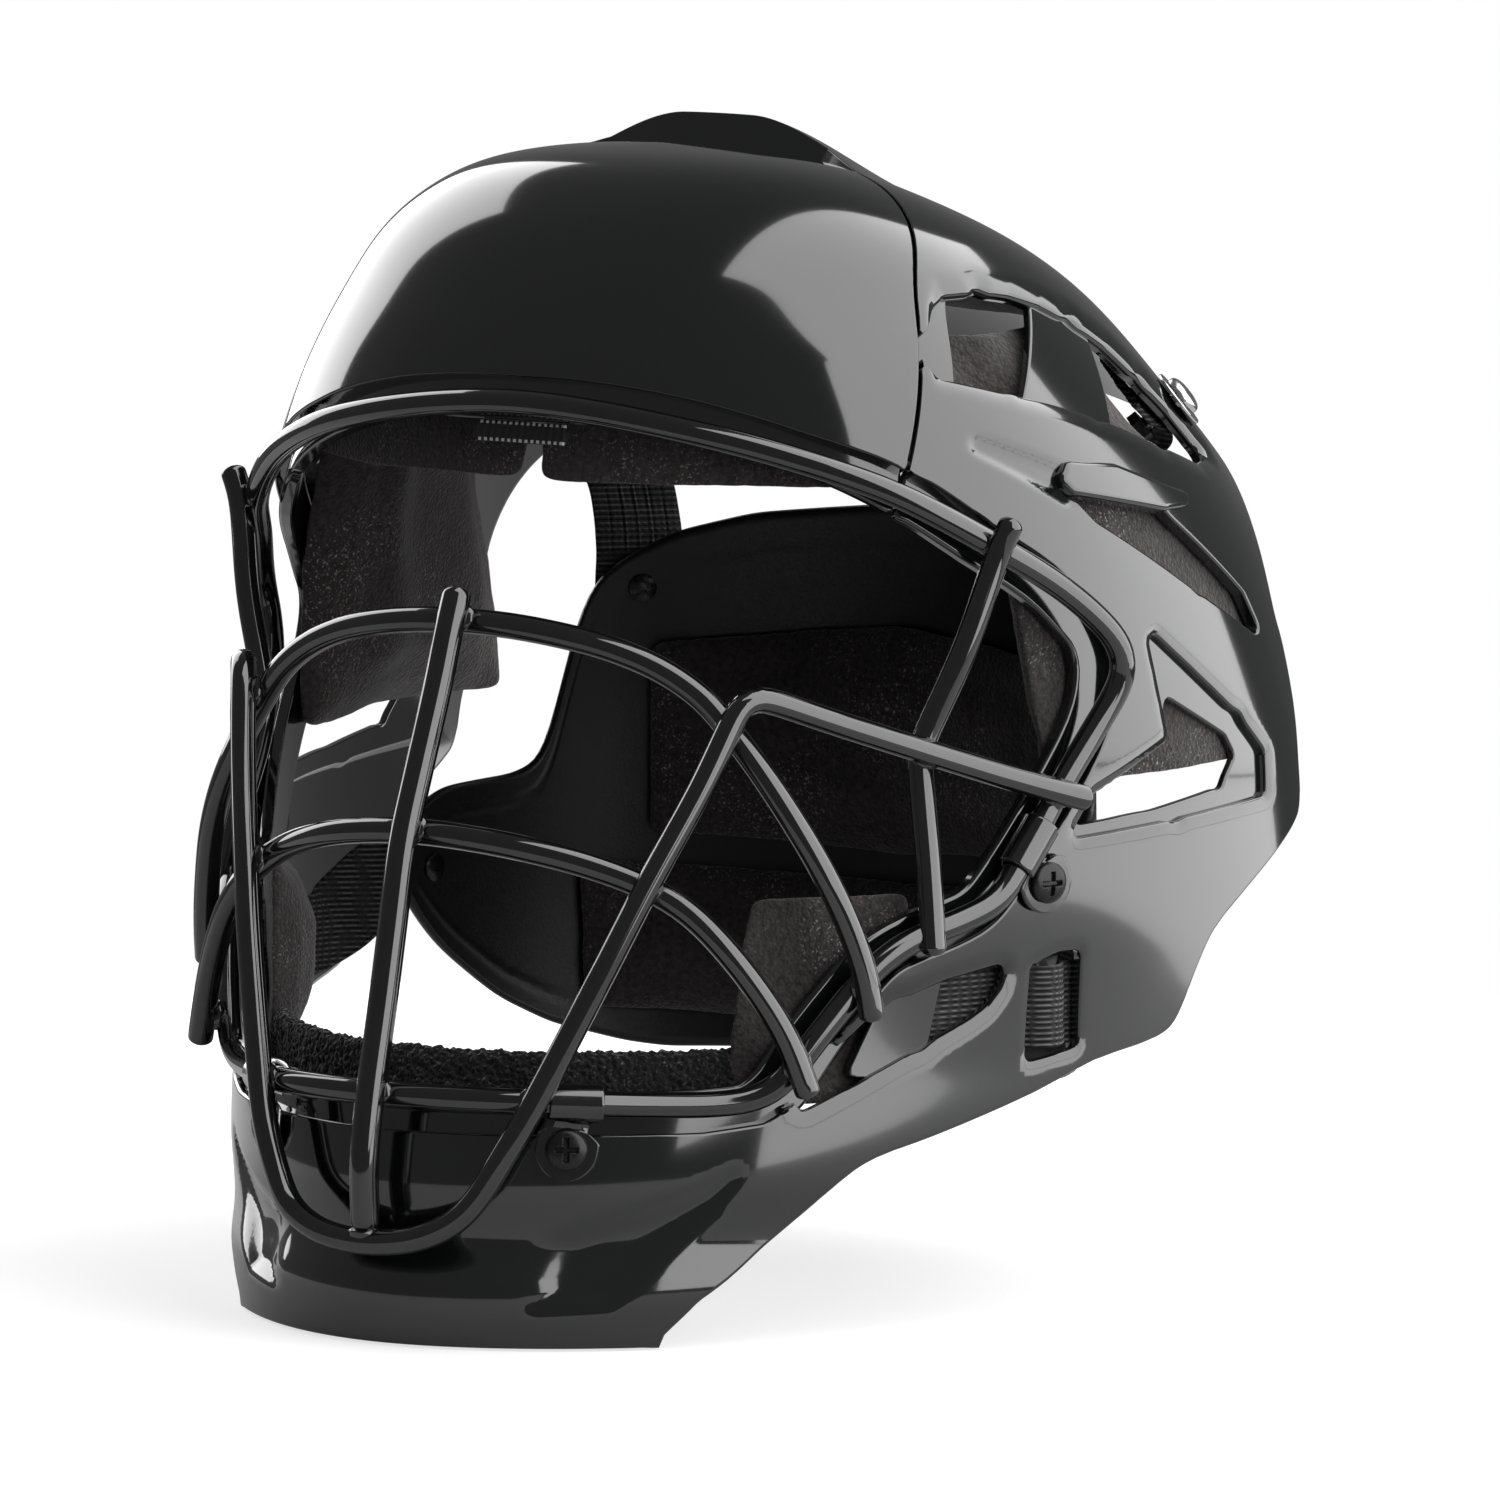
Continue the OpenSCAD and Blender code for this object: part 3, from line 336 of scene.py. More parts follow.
def outward(ob):
    """Turns every face of a closed mesh outward."""
    bm = bmesh.new()
    bm.from_mesh(ob.data)
    bmesh.ops.recalc_face_normals(bm, faces=bm.faces[:])
    bm.to_mesh(ob.data)
    bm.free()


class Parts:
    """Collects the vertices, faces and normals of one piece."""

    def __init__(self):
        self.v, self.f, self.n = [], [], []

    def add(self, v, f, n, q):
        """Adds a closed part, turned so that its face q agrees with the normals."""
        if np.cross(v[q[1]] - v[q[0]], v[q[2]] - v[q[0]]) @ n[q[0]] < 0:
            f = [face[::-1] for face in f]
        count = sum(map(len, self.v))
        self.f += [tuple(i + count for i in face) for face in f]
        self.v.append(v)
        self.n.append(n)

    def build(self, name):
        return new_mesh(name, metres(cat(self.v)), self.f, cat(self.n))


def slab(parts, s, f, top, bottom, edge=0.8, deep=None, turns=4):
    """Closed sheet over the region f > 0 of skin s, from depth top to depth bottom, with rounded outer edges."""
    size, way = s.grad(f)
    edge = np.broadcast_to(np.asarray(edge, float), f.shape)
    level = f / size - edge
    inside = level > 0
    inside[-1] = inside[-1, 0]
    ids = np.arange(f.size).reshape(f.shape)
    ids[-1] = ids[-1, 0]
    P, N, W, L, E = (a.reshape(-1, a.shape[2] if a.ndim > 2 else 1) for a in (s.P, s.N, way, level, edge))
    corner = np.stack([ids[:-1], np.roll(ids[:-1], -1, 1), np.roll(ids[1:], -1, 1), ids[1:]], -1)
    ok = inside.ravel()[corner]
    total = ok.sum(-1)
    full, part = corner[total == 4], (total > 0) & (total < 4)
    # Cells that the edge crosses: their inner corners, and the places where it cuts their sides.
    cross, cuts, mixed = {}, [], []
    for q, m in zip(corner[part].tolist(), ok[part].tolist()):
        ring = []
        for k in range(4):
            p, r = q[k], q[(k + 1) % 4]
            if m[k]:
                ring.append((p, False))
            if m[k] != m[(k + 1) % 4]:
                ring.append((cross.setdefault((min(p, r), max(p, r)), len(cross)), True))
        cuts += [(a[0], b[0]) for a, b in zip(ring, ring[1:] + ring[:1]) if a[1] and b[1]]
        mixed.append(ring)
    used = np.unique(cat([full.ravel(), [p for ring in mixed for p, c in ring if not c]]).astype(int))
    new = np.full(ids.size, -1)
    new[used] = np.arange(len(used))
    a, b = np.array(list(cross)).T
    t = np.clip(L[a] / (L[a] - L[b]), 0.02, 0.98)
    Pc, Nc, Tc, rad = (v[a] * (1 - t) + v[b] * t for v in (P, N, -W, E))
    Nc = unit(Nc)
    Tc = unit(Tc - Nc * (Tc * Nc).sum(-1, keepdims=True))
    nu, nc, Pu, Nu = len(used), len(a), P[used], N[used]
    verts, norms = [Pu - Nu * top, Pc - Nc * top], [Nu, Nc]
    quads = [tuple(dict.fromkeys(new[q].tolist())) for q in full]
    quads += [tuple(nu + p if c else int(new[p]) for p, c in ring) for ring in mixed]
    low = np.full((nc, 1), float(bottom)) if deep is None else deep(Pc)[:, None]
    bends = np.linspace(0, pi / 2, turns + 1)[1:]
    lines = [(rad * sin(x), rad * (1 - cos(x)) + top, x) for x in bends]
    lines += [(rad, low - 0.25, pi / 2), (rad - 0.25, low, pi * 0.8)]
    for o, d, x in lines:
        verts.append(Pc + Tc * o - Nc * d)
        norms.append(Nc * cos(x) + Tc * sin(x))
    verts += [Pc - Nc * bottom, Pu - Nu * bottom]
    norms += [-Nc, -Nu]
    base = nu + nc * (len(lines) + 1)
    faces = quads + [(lo + r, lo + p, lo + nc + p, lo + nc + r) for p, r in cuts for lo in range(nu, base, nc)]
    faces += [tuple(base + nc + i if i < nu else base + i - nu for i in q[::-1]) for q in quads]
    parts.add(cat(verts), faces, unit(cat(norms)), next(q for q in quads if len(q) == 4))


def bevel(f, width, depth):
    """Inward dip towards an edge at f = 0."""
    return depth * np.clip(1 - f / width, 0, 1) ** 2


ROWS, COLS = ((320, 580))
main = Skin(ROWS, COLS, True)
plainer = Skin(ROWS, COLS, True)
brow = Skin(ROWS, COLS, False)


def face_of(P, grow=SKIN_GAP):
    return outline_distance(P, opening(grow))


def seam_of(P):
    return outline_distance(P, SEAM)


def flange_of(P):
    """Band of the recessed flange that the cage wire lies on."""
    return np.minimum(face_of(P, -FLANGE_IN), -face_of(P, SKIN_GAP + FLANGE_UNDER))


def face_foot(P):
    """Depth of a cut edge's foot: the edge of the face opening runs down to the flange."""
    return np.where(np.abs(face_of(P)) < NEAR, FACE_FOOT, WALL)


def deep_edge(P):
    """The same for the main shell, whose edge at the seam also runs down to the brow panel."""
    return face_foot(P) + np.where(np.abs(seam_of(P)) < NEAR, hump(P[:, 0], P[:, 1]), 0)


def within(P, *fields):
    return np.minimum.reduce(list(fields) + [P[..., 2] - CHIN_Z])


FLANGE_IN, FLANGE_UNDER, NEAR, FACE_FOOT = 4, 3.3, 3, 4.2
crown = window(main.P, *VENT)
slit = window(main.P, *SLIT, soft=1.5)
jaw, slot, rim = window(main.P, *JAW), window(main.P, STRAP_SLOT), window(main.P, *EAR_RIM)
ear = window(main.P, *EAR, soft=1.5)
face, seam, rear = face_of(main.P), seam_of(main.P), outline_distance(main.P, REAR)
edge_of_main = seam - SEAM_GAP / 2
main.push(bevel(crown, 6, 1.9) * step(1.5, 5, seam) + bevel(jaw, 4, 1.0) + bevel(slot, 2.5, 0.5)
          + bevel(rim, 3.5, 0.7) + 1.3 * step(2.4, -1.4, window(main.P, SLIT_GROOVE))
          + 2.2 * step(3.0, -3.5, outline_distance(main.P, CHIN_SCOOP)))

# Main shell: skin, ear floor, flange, the struts of crown vent and jaw slit, and the slit's lip.
shell = Parts()
fine = 1 - step(2.0, 5.0, np.abs(seam))
turn = (0.8 + 1.2 * (1 - step(3, 7, crown)) + 0.4 * (1 - step(2, 5, jaw))) * (1 - fine) + 0.3 * fine
slab(shell, main, within(main.P, crown, slit, jaw, slot, rim, face, edge_of_main, rear), 0, WALL, turn, deep_edge)
slab(shell, plainer, np.minimum(2.2 - rim, ear), 2.2, WALL + 1.0, 0.7)
slab(shell, plainer, within(plainer.P, flange_of(plainer.P), edge_of_main, rear), FLANGE_STEP,
     FLANGE_STEP + WALL, 1.1)
slab(shell, plainer, -np.maximum(window(plainer.P, VENT_STRUT), crown - 3), 2.6, WALL + 1.6, 0.8)
slab(shell, plainer, -np.maximum(window(plainer.P, JAW_STRUT), jaw - 3), 1.9, WALL + 1.2, 0.6)
slab(shell, plainer, -window(plainer.P, SLIT_LIP), -1.4, 2.2, 1.5)
shell_ob = shell.build("main_shell_skin")

# Brow panel: skin, flange, and the lap under the main shell.
panel = Parts()
face, edge_of_brow = face_of(brow.P), -seam_of(brow.P) - SEAM_GAP / 2
lap = np.minimum(9 - seam_of(brow.P), 4 + seam_of(brow.P))
slab(panel, brow, np.minimum(face, edge_of_brow), 0, WALL, 0.7, face_foot)
slab(panel, brow, np.minimum(flange_of(brow.P), edge_of_brow), FLANGE_STEP, FLANGE_STEP + WALL, 0.7)
slab(panel, brow, np.minimum(lap, face - 3.6), WALL + 0.2, WALL + 2.2, 0.4)
panel_ob = panel.build("brow_panel_skin")

# Centre lines of the cage wires.
RIM = coords("""0,-121,213 22,-119.5,211.6 46,-114.8,207.8 66,-106.6,202.6 86,-92.8,194.1 102,-77.5,182.2
    111.3,-63,171.9 117.4,-53.5,162.5 119.4,-49.3,156 118.6,-48.4,149 115,-53,139.3 110.5,-64,123.5 107.5,-75,108
    105.5,-81,101 101,-88.7,97 94.5,-99.5,93 89,-108,86.5 82.4,-118.2,73.5 76.6,-125.6,62.5 72,-130,58.8 65,-137,57.6
    53,-149,58 42.5,-159.6,58.8 30,-168.5,59.4 16,-173,59.6 0,-174.5,59.6""")
U_HALF = coords("""0,-181.5,26.3 10.4,-181.3,27.3 17.5,-180.2,29.5 23.5,-178.5,33.2 28.2,-176.3,39.4 32.4,-174,47.4
    37,-170,57.6 48,-158.3,86.8 55.4,-149.4,108 63,-139.4,129.2 67.6,-132.6,145 68.9,-130.6,148.2 70.6,-128,149.6
    73.2,-124.6,148.9 84,-109,142.2 105.2,-79,129.8 117,-61.6,123.5""")
UPPER_HALF = coords("""0,-141.4,164.6 12.4,-141.2,164.2 24.7,-139.6,162.7 36.6,-136.8,160.1 48.3,-133.4,155.6
    58,-130.6,149.2 64.8,-128.6,141.5 72,-126.6,132 79.4,-124,120.4 85,-120.6,109 89,-116.8,97 91.4,-114,86
    92,-112.6,77.5""")
LOWER_HALF = coords("""0,-161,118.2 12.4,-160.2,117.6 26,-157.4,115.8 39.6,-151.4,112.3 51.6,-145,107.4 61,-141,101.6
    69,-137.4,93 75.6,-133,82.6 80.4,-129.4,72.4 84,-127,61""")
CENTRE = coords("""0,-144.5,170.5 0,-148,162 0,-152.4,150 0,-160,132 0,-166.4,116 0,-170.6,98 0,-175,79 0,-179.8,60
    0,-182.3,45 0,-181.9,31.2""")
SIDE = coords("""107.8,-78.6,187 104.8,-79.6,179.9 99.6,-84.4,159.8 92.9,-88.6,142 91,-90.4,135.5 92.4,-91.5,124.6
    96,-94.6,108.9 99.2,-97.6,91.5""")


def both(p):
    return [(-x, y, z) for x, y, z in p[:0:-1]] + list(p)


def bend(p, gap, shut=False, soft=0.0):
    """Evenly spaced points along a smooth curve through p."""
    p = np.array(p, float)
    n = len(p)
    t = np.linspace(0, 1, 12, endpoint=False)[:, None]
    out = []
    for i in range(n if shut else n - 1):
        out.append(curve([p[k % n] if shut else p[min(max(k, 0), n - 1)] for k in range(i - 1, i + 3)], t))
    c = cat(out + [out[0][:1] if shut else p[-1:]])
    run = travel(c)
    c = resample(np.linspace(0, run[-1], max(int(run[-1] / gap), 4) + 1), run, c)
    if shut:
        return blur(c[:-1], soft / gap, wrap=True)
    if soft > 0:
        k = int(soft / gap * 3) + 1
        big = cat([2 * c[0] - c[k:0:-1], c, 2 * c[-1] - c[-2:-k - 2:-1]])
        c[1:-1] = blur(big, soft / gap, wrap=True)[k + 1:-k - 1]
    return c


def tube(parts, path, r, shut, aim, sides=22):
    """Round bar along a path, with rounded ends."""
    t = unit(np.roll(path, -1, 0) - np.roll(path, 1, 0)) if shut else unit(np.gradient(path, axis=0))
    u = unit(np.cross(t, np.array(aim, float)))
    v = np.cross(t, u)
    scale, centre = np.ones(len(path)), path
    if not shut:
        caps = np.linspace(0, pi / 2, 6)[1:]
        head = [path[0] - t[0] * r * sin(x) * 0.6 for x in caps[::-1]]
        tail = [path[-1] + t[-1] * r * sin(x) * 0.6 for x in caps]
        centre = cat([head, path, tail])
        t, u, v = (cat([[q[0]] * 5, q, [q[-1]] * 5]) for q in (t, u, v))
        ends = [max(cos(x), 0.02) for x in caps]
        scale = cat([ends[::-1], scale, ends])
    ang = np.linspace(0, 2 * pi, sides, endpoint=False)
    ring = u[:, None] * np.cos(ang)[None, :, None] + v[:, None] * np.sin(ang)[None, :, None]
    verts = (centre[:, None] + ring * (r * scale)[:, None, None]).reshape(-1, 3)
    norms = unit(ring - t[:, None] * (np.gradient(scale) * 3)[:, None, None]).reshape(-1, 3)
    faces = sweep_faces(len(centre), sides, shut)
    parts.add(verts, faces, norms, faces[len(faces) // 2])


WIRE, BAR = 3.0, 3.4
FORE, ACROSS, TILTED = (0.02, 1, 0.03), (1, 0, 0), (0, 1, 0.2)
cage, lines = {}, []
for name, points, soft, r, aim in [
        ("perimeter_wire", both(RIM)[:-1], 2.5, WIRE, FORE), ("u_bar", both(U_HALF), 2.0, WIRE, FORE),
        ("upper_bar", both(UPPER_HALF), 2.5, WIRE, FORE), ("lower_bar", both(LOWER_HALF), 2.5, WIRE, FORE),
        ("centre_bar", CENTRE, 2.5, BAR, ACROSS), ("side_bar_left", SIDE, 2.5, WIRE, TILTED),
        ("side_bar_right", [(-x, y, z) for x, y, z in SIDE], 2.5, WIRE, TILTED)]:
    shut = name == "perimeter_wire"
    path = bend(points, 2.0, shut, soft)
    bar = Parts()
    tube(bar, path, r, shut, aim)
    cage[name] = bar.build(name + "_bar")
    lines.append((path, r))

BEAD, BEAD_REACH, BEAD_SKIP = 2.75, 0.9, 12


def bead(parts, centre, along, gap):
    """Weld bead: a squashed, slightly uneven ball in the corner where two bars meet."""
    a = unit(along)
    b = unit(gap - (gap @ a) * a)
    rows, cols = 13, 20
    x, y = np.meshgrid(pi * (np.arange(rows) + 0.02) / (rows - 0.96), 2 * pi * np.arange(cols) / cols,
                       indexing="ij")
    q = np.stack([np.cos(x), np.sin(x) * np.cos(y), np.sin(x) * np.sin(y)], -1).reshape(-1, 3)
    w = BEAD * (1 + 0.12 * np.array([mn.noise(p) for p in (q * 2.1 + centre * 0.3).tolist()]))[:, None]
    parts.append((centre + q * w * [1.35, 0.62, 1.25] @ np.array([a, b, np.cross(a, b)]), sweep_faces(rows, cols)))


# A bead wherever two bars come within reach of each other.
beads = []
for i, (p, rp) in enumerate(lines):
    for q, rq in lines[i + 1:]:
        far = np.linalg.norm(p[:, None] - q[None], axis=-1)
        while far.min() < rp + rq + BEAD_REACH:
            m, n = np.unravel_index(far.argmin(), far.shape)
            along = unit(p[min(m + 1, len(p) - 1)] - p[max(m - 1, 0)]) + 0.001
            bead(beads, p[m] + (q[n] - p[m]) * rp / (rp + rq), along, q[n] - p[m] + 0.001)
            far[max(m - BEAD_SKIP, 0):m + BEAD_SKIP + 1, :] = 1e3
            far[:, max(n - BEAD_SKIP, 0):n + BEAD_SKIP + 1] = 1e3


def feed(tree, socket, value):
    """Links a socket to an input, or sets a plain value there."""
    if isinstance(value, bpy.types.NodeSocket):
        tree.links.new(value, socket)
    else:
        socket.default_value = value


def math_node(tree, op, *values):
    n = tree.nodes.new("ShaderNodeMath")
    n.operation = op
    for socket, value in zip(n.inputs, values):
        feed(tree, socket, value)
    return n.outputs[0]


class Mat:
    """Small helper over a node material."""

    def __init__(self, name, **values):
        self.mat = bpy.data.materials.new(name)
        self.mat.use_nodes = True
        self.t = self.mat.node_tree
        self.b = self.t.nodes["Principled BSDF"]
        self.pos = self.t.nodes.new("ShaderNodeTexCoord").outputs["Object"]
        for k, v in values.items():
            self.b.inputs[k.replace("_", " ")].default_value = v

    def node(self, kind, **inputs):
        n = self.t.nodes.new("ShaderNode" + kind)
        for k, v in inputs.items():
            if k.replace("_", " ") in n.inputs:
                feed(self.t, n.inputs[k.replace("_", " ")], v)
            else:
                setattr(n, k, v)
        return n

    def math(self, op, *values):
        return math_node(self.t, op, *values)

    def times(self, a, b):
        return self.math("MULTIPLY", a, b)

    def ramp(self, fac, *stops):
        n = self.t.nodes.new("ShaderNodeValToRGB")
        while len(n.color_ramp.elements) < len(stops):
            n.color_ramp.elements.new(0.5)
        for e, (p, c) in zip(n.color_ramp.elements, stops):
            e.position = p
            e.color = (*c, 1) if isinstance(c, tuple) else (c, c, c, 1)
        self.t.links.new(fac, n.inputs[0])
        return n.outputs[0]

    def noise(self, scale, detail):
        return self.node("TexNoise", Scale=scale, Detail=detail, Vector=self.pos).outputs[0]

    def cells(self, scale):
        return self.node("TexVoronoi", Scale=scale, Vector=self.pos).outputs["Distance"]

    def axes(self):
        return self.node("SeparateXYZ", Vector=self.pos).outputs

    def link(self, a, key):
        self.t.links.new(a, self.b.inputs[key])

    def bump(self, height, strength, distance):
        n = self.node("Bump", Strength=strength, Distance=distance, Height=height)
        self.link(n.outputs[0], "Normal")
        return self.mat


def hard(name, grain, stops, relief, strength, distance, **values):
    """Hard surface: its roughness follows one noise, and its relief another, or the same where none is given."""
    m = Mat(name, **values)
    noise = m.noise(*grain)
    m.link(m.ramp(noise, *stops), "Roughness")
    return m.bump(m.noise(*relief) if relief else noise, strength, distance)


def knit():
    """Brownish black brushed knit, with the paler grain of cut foam showing through."""
    m = Mat("liner_fabric", Roughness=0.95, Specular_IOR_Level=0.25, Sheen_Weight=0.25, Sheen_Roughness=0.5)
    grain = m.noise(700, 2)
    spark = m.ramp(m.noise(1500, 1), (0.6, 0.0), (0.72, 1.0))
    spark = m.times(spark, m.ramp(m.noise(35, 3), (0.48, 0.0), (0.62, 1.0)))
    base = m.ramp(grain, (0.3, (0.018, 0.0155, 0.0155)), (0.7, (0.045, 0.038, 0.038)))
    mix = m.node("Mix", data_type="RGBA")
    for socket, value in ((0, spark), (6, base), (7, (0.24, 0.22, 0.22, 1))):
        feed(m.t, mix.inputs[socket], value)
    m.link(mix.outputs[2], "Base Color")
    return m.bump(m.math("ADD", m.cells(1100.0), grain), 0.5, 0.0006)


def terry():
    """Black looped pile with fine bright fibre ends."""
    m = Mat("terry_fabric", Roughness=0.9, Specular_IOR_Level=0.3, Sheen_Weight=0.3, Sheen_Roughness=0.4)
    m.link(m.ramp(m.noise(1300, 2), (0.55, (0.006, 0.006, 0.0065)), (0.66, (0.02, 0.02, 0.021)),
                  (0.78, (0.16, 0.16, 0.165))), "Base Color")
    return m.bump(m.math("SUBTRACT", 1.0, m.cells(850.0)), 0.8, 0.001)


CORD = 0.0013


def elastic():
    """Woven elastic webbing of cords crossed by picks; its colour follows the weave's own height, with painted
    highlight on the crests and painted shade in the hollows.
    """
    m = Mat("strap_elastic", Roughness=0.85, Specular_IOR_Level=0.3)
    x, y, z = m.axes()
    cord = m.math("SINE", m.times(z, 2 * pi / CORD))
    pick = m.math("SINE", m.times(m.math("SUBTRACT", y, x), 2 * pi / CORD))
    crossed = m.times(m.times(cord, pick), 0.2)
    height = m.math("ADD", m.math("ADD", m.times(cord, 0.3), crossed), 0.5)
    # Painted highlight and painted shade: the colour ramp reads the weave's height, pale on the crests and dark in
    # the hollows.
    m.link(m.ramp(height, (0.2, 0.006), (0.6, (0.035, 0.035, 0.037)), (0.95, (0.13, 0.13, 0.135))),
           "Base Color")
    return m.bump(height, 0.7, 0.0006)


BUMPER_TILT = radians(13)
DOT_PITCH, DOT_LINE, DOT_HALF = 0.0016, 0.0020, 0.00035


def ribbed_rubber():
    """Black rubber with a row of pale dots along both long edges."""
    m = Mat("bumper_rubber", Roughness=0.6)
    low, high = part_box("brow_bumper")
    fore, rise = sin(BUMPER_TILT), cos(BUMPER_TILT)
    x, y, z = m.axes()
    over = m.math("ADD", m.times(y, fore), m.times(z, rise))
    over = m.math("SUBTRACT", over, (low[1] + high[1]) / 2 * fore + (low[2] + high[2]) / 2 * rise)
    dots = m.math("GREATER_THAN", m.math("SINE", m.times(x, 2 * pi / DOT_PITCH)), 0.0)
    dots = m.times(dots, m.math("COMPARE", m.math("ABSOLUTE", over), DOT_LINE, DOT_HALF))
    m.link(m.ramp(dots, (0.4, 0.012), (0.6, 0.55)), "Base Color")
    return m.bump(m.noise(900, 2), 0.2, 0.0002)


def moulded():
    """Satin moulded plastic with a fine spark-eroded grain."""
    m = Mat("plate_plastic", Base_Color=(0.008, 0.008, 0.0085, 1), Specular_IOR_Level=0.45)
    grain = m.noise(1400, 2)
    m.link(m.ramp(grain, (0.35, 0.3), (0.7, 0.42)), "Roughness")
    return m.bump(m.math("ADD", grain, m.times(m.noise(30, 2), 3.0)), 0.12, 0.0004)


LACQUER = {"Base_Color": (0.004, 0.004, 0.0045, 1), "Specular_IOR_Level": 0.8, "Coat_Weight": 0.6,
           "Coat_Roughness": 0.05}
# The frame holds materials of the same names, so Blender adds a number to these.
MATS = {m.name.split(".")[0]: m for m in (
    hard("shell_gloss", (9, 3), ((0.3, 0.08), (0.75, 0.13)), (26, 2), 0.05, 0.001,
         Base_Color=(0.004, 0.0045, 0.0045, 1), IOR=1.5, Specular_IOR_Level=0.6, Coat_Weight=1.0,
         Coat_Roughness=0.045),
    hard("cage_wire", (60, 3), ((0.3, 0.05), (0.75, 0.1)), (70, 3), 0.1, 0.0006, **LACQUER),
    hard("clip_metal", (60, 3), ((0.3, 0.08), (0.75, 0.16)), (70, 3), 0.1, 0.0006, **LACQUER),
    hard("screw_black", (900, 3), ((0.35, 0.22), (0.7, 0.36)), None, 0.05, 0.0002, Base_Color=(0.03, 0.03, 0.031, 1),
         Metallic=0.8),
    hard("bright_metal", (900, 3), ((0.35, 0.14), (0.7, 0.28)), None, 0.05, 0.0002, Base_Color=(0.6, 0.6, 0.61, 1),
         Metallic=1.0),
    ribbed_rubber(), knit(), terry(), moulded(), elastic())}


def place(ob, slot, body=None, node=None):
    """Gives a piece its material and slot, the body that carries it, and the solid that it stands for."""
    ob.data.materials.clear()
    ob.data.materials.append(MATS[slot])
    if body:
        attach(ob, body)
    if node:
        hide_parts(node)


place(shell_ob, "shell_gloss", "helmet", "main_shell")
place(panel_ob, "shell_gloss", "helmet", "brow_panel")
for name, ob in cage.items():
    place(ob, "cage_wire", "helmet", name)

# Thickness of the pads, the depths that they start from, and the back plate's form.
BROW_T, SIDE_T, CHIN_T = 13.0, 17.0, 13.0
BARE, LINER, LAP = 3.6, 7.2, 5.8
PLATE_X, PLATE_Y, PLATE_C, CUP = 90.0, 84.0, (-36.0, 105.0), 0.0013
PLATE_TOP = coords("0,175 25,171.5 38,167 48,160 53,153 56,138 58,120 61,112 66,109.5 80,108 87,104 91,95")
PLATE_LOW = coords("0,44.5 40,44.5 47,46 60,51 70,58 82,71 88,80 91,86")


def plate_pt(p, z, d):
    p, z = np.radians(np.asarray(p, float)), np.asarray(z, float)
    g = d + CUP * (z - PLATE_C[1]) ** 2
    return np.stack(np.broadcast_arrays((PLATE_X - g) * np.sin(p), PLATE_C[0] + (PLATE_Y - g) * np.cos(p), z), -1)


def table(rows, q):
    t = np.array(rows, float)
    return np.interp(q, t[:, 0], t[:, 1])


def closed(sheet, nu, nv, turns=3, bulge=1.0):
    """Closed body between two sheets: its points and faces, which points are carried, and the stitched pairs."""
    u, v = np.meshgrid(np.linspace(0, 1, nu + 1), np.linspace(0, 1, nv + 1), indexing="ij")
    low, high = sheet(u, v, 0.0).reshape(-1, 3), sheet(u, v, 1.0).reshape(-1, 3)
    w, n = nv + 1, (nu + 1) * (nv + 1)
    loop = (list(range(nv)) + [i * w + nv for i in range(nu)] + [nu * w + nv - j for j in range(nv)]
            + [(nu - i) * w for i in range(nu)])
    m = len(loop)
    mid = (low + high) / 2
    inner = np.array([min(max(k // w, 1), nu - 1) * w + min(max(k % w, 1), nv - 1) for k in loop])
    out = unit(mid[loop] - mid[inner])
    pts = [low, high]
    for r in range(1, turns):
        k = r / turns
        pts.append(low[loop] * (1 - k) + high[loop] * k + out * bulge * sin(pi * k))
    faces = []
    for i in range(nu):
        for j in range(nv):
            a = i * w + j
            faces += [(a, a + 1, a + w + 1, a + w), (n + a, n + a + w, n + a + w + 1, n + a + 1)]
    rows = [loop] + [[2 * n + r * m + k for k in range(m)] for r in range(turns - 1)] + [[n + k for k in loop]]
    for a, b in zip(rows[:-1], rows[1:]):
        faces += [(a[k], b[k], b[(k + 1) % m], a[(k + 1) % m]) for k in range(m)]
    carried = np.arange(2 * n + (turns - 1) * m) < n
    hem = [i * w + j for i in range(1, nu) for j in range(1, nv) if 2 in (i, nu - i, j, nv - j)]
    return cat(pts), faces, carried, [(n + k, k) for k in hem]


CLOTH_FRAMES, PRESSURE, STITCH = 20, 4.0, 0.13


def read(me, what):
    values = np.empty(len(me.vertices) * 3)
    me.vertices.foreach_get(what, values)
    return values.reshape(-1, 3)


def settle(ob, carried, start, cap):
    """Inflates a pad with the cloth solver, held on its carried side, and keeps each move under cap millimetres."""
    held = ob.vertex_groups.new(name="held")
    held.add([int(i) for i in np.nonzero(carried)[0]], 1.0, "REPLACE")
    mod = ob.modifiers.new("cloth", "CLOTH")
    st = mod.settings
    st.quality, st.mass, st.use_pressure, st.uniform_pressure_force = 5, 0.3, True, PRESSURE
    st.tension_stiffness = st.compression_stiffness = 15
    st.bending_stiffness = 0.5
    st.vertex_group_mass = "held"
    st.effector_weights.gravity = 0
    mod.collision_settings.use_collision = False
    mod.point_cache.frame_start, mod.point_cache.frame_end = 1, CLOTH_FRAMES
    scene = bpy.context.scene
    for k in range(1, CLOTH_FRAMES + 1):
        scene.frame_set(k)
    got = ob.evaluated_get(bpy.context.evaluated_depsgraph_get()).data
    move = read(got, "co") / MM + SEAT - start
    ob.modifiers.remove(mod)
    ob.vertex_groups.clear()
    scene.frame_set(1)
    size = np.linalg.norm(move, axis=1, keepdims=True)
    move *= np.minimum(1, cap / np.maximum(size, 1e-6))
    move[carried] = 0
    ob.data.vertices.foreach_set("co", metres(start + move).ravel())
    ob.data.update()


def subdivide(ob, levels):
    mod = ob.modifiers.new("smooth", "SUBSURF")
    mod.levels = mod.render_levels = levels
    me = bpy.data.meshes.new_from_object(ob.evaluated_get(bpy.context.evaluated_depsgraph_get()))
    ob.modifiers.clear()
    ob.data = me
    me.polygons.foreach_set("use_smooth", [True] * len(me.polygons))


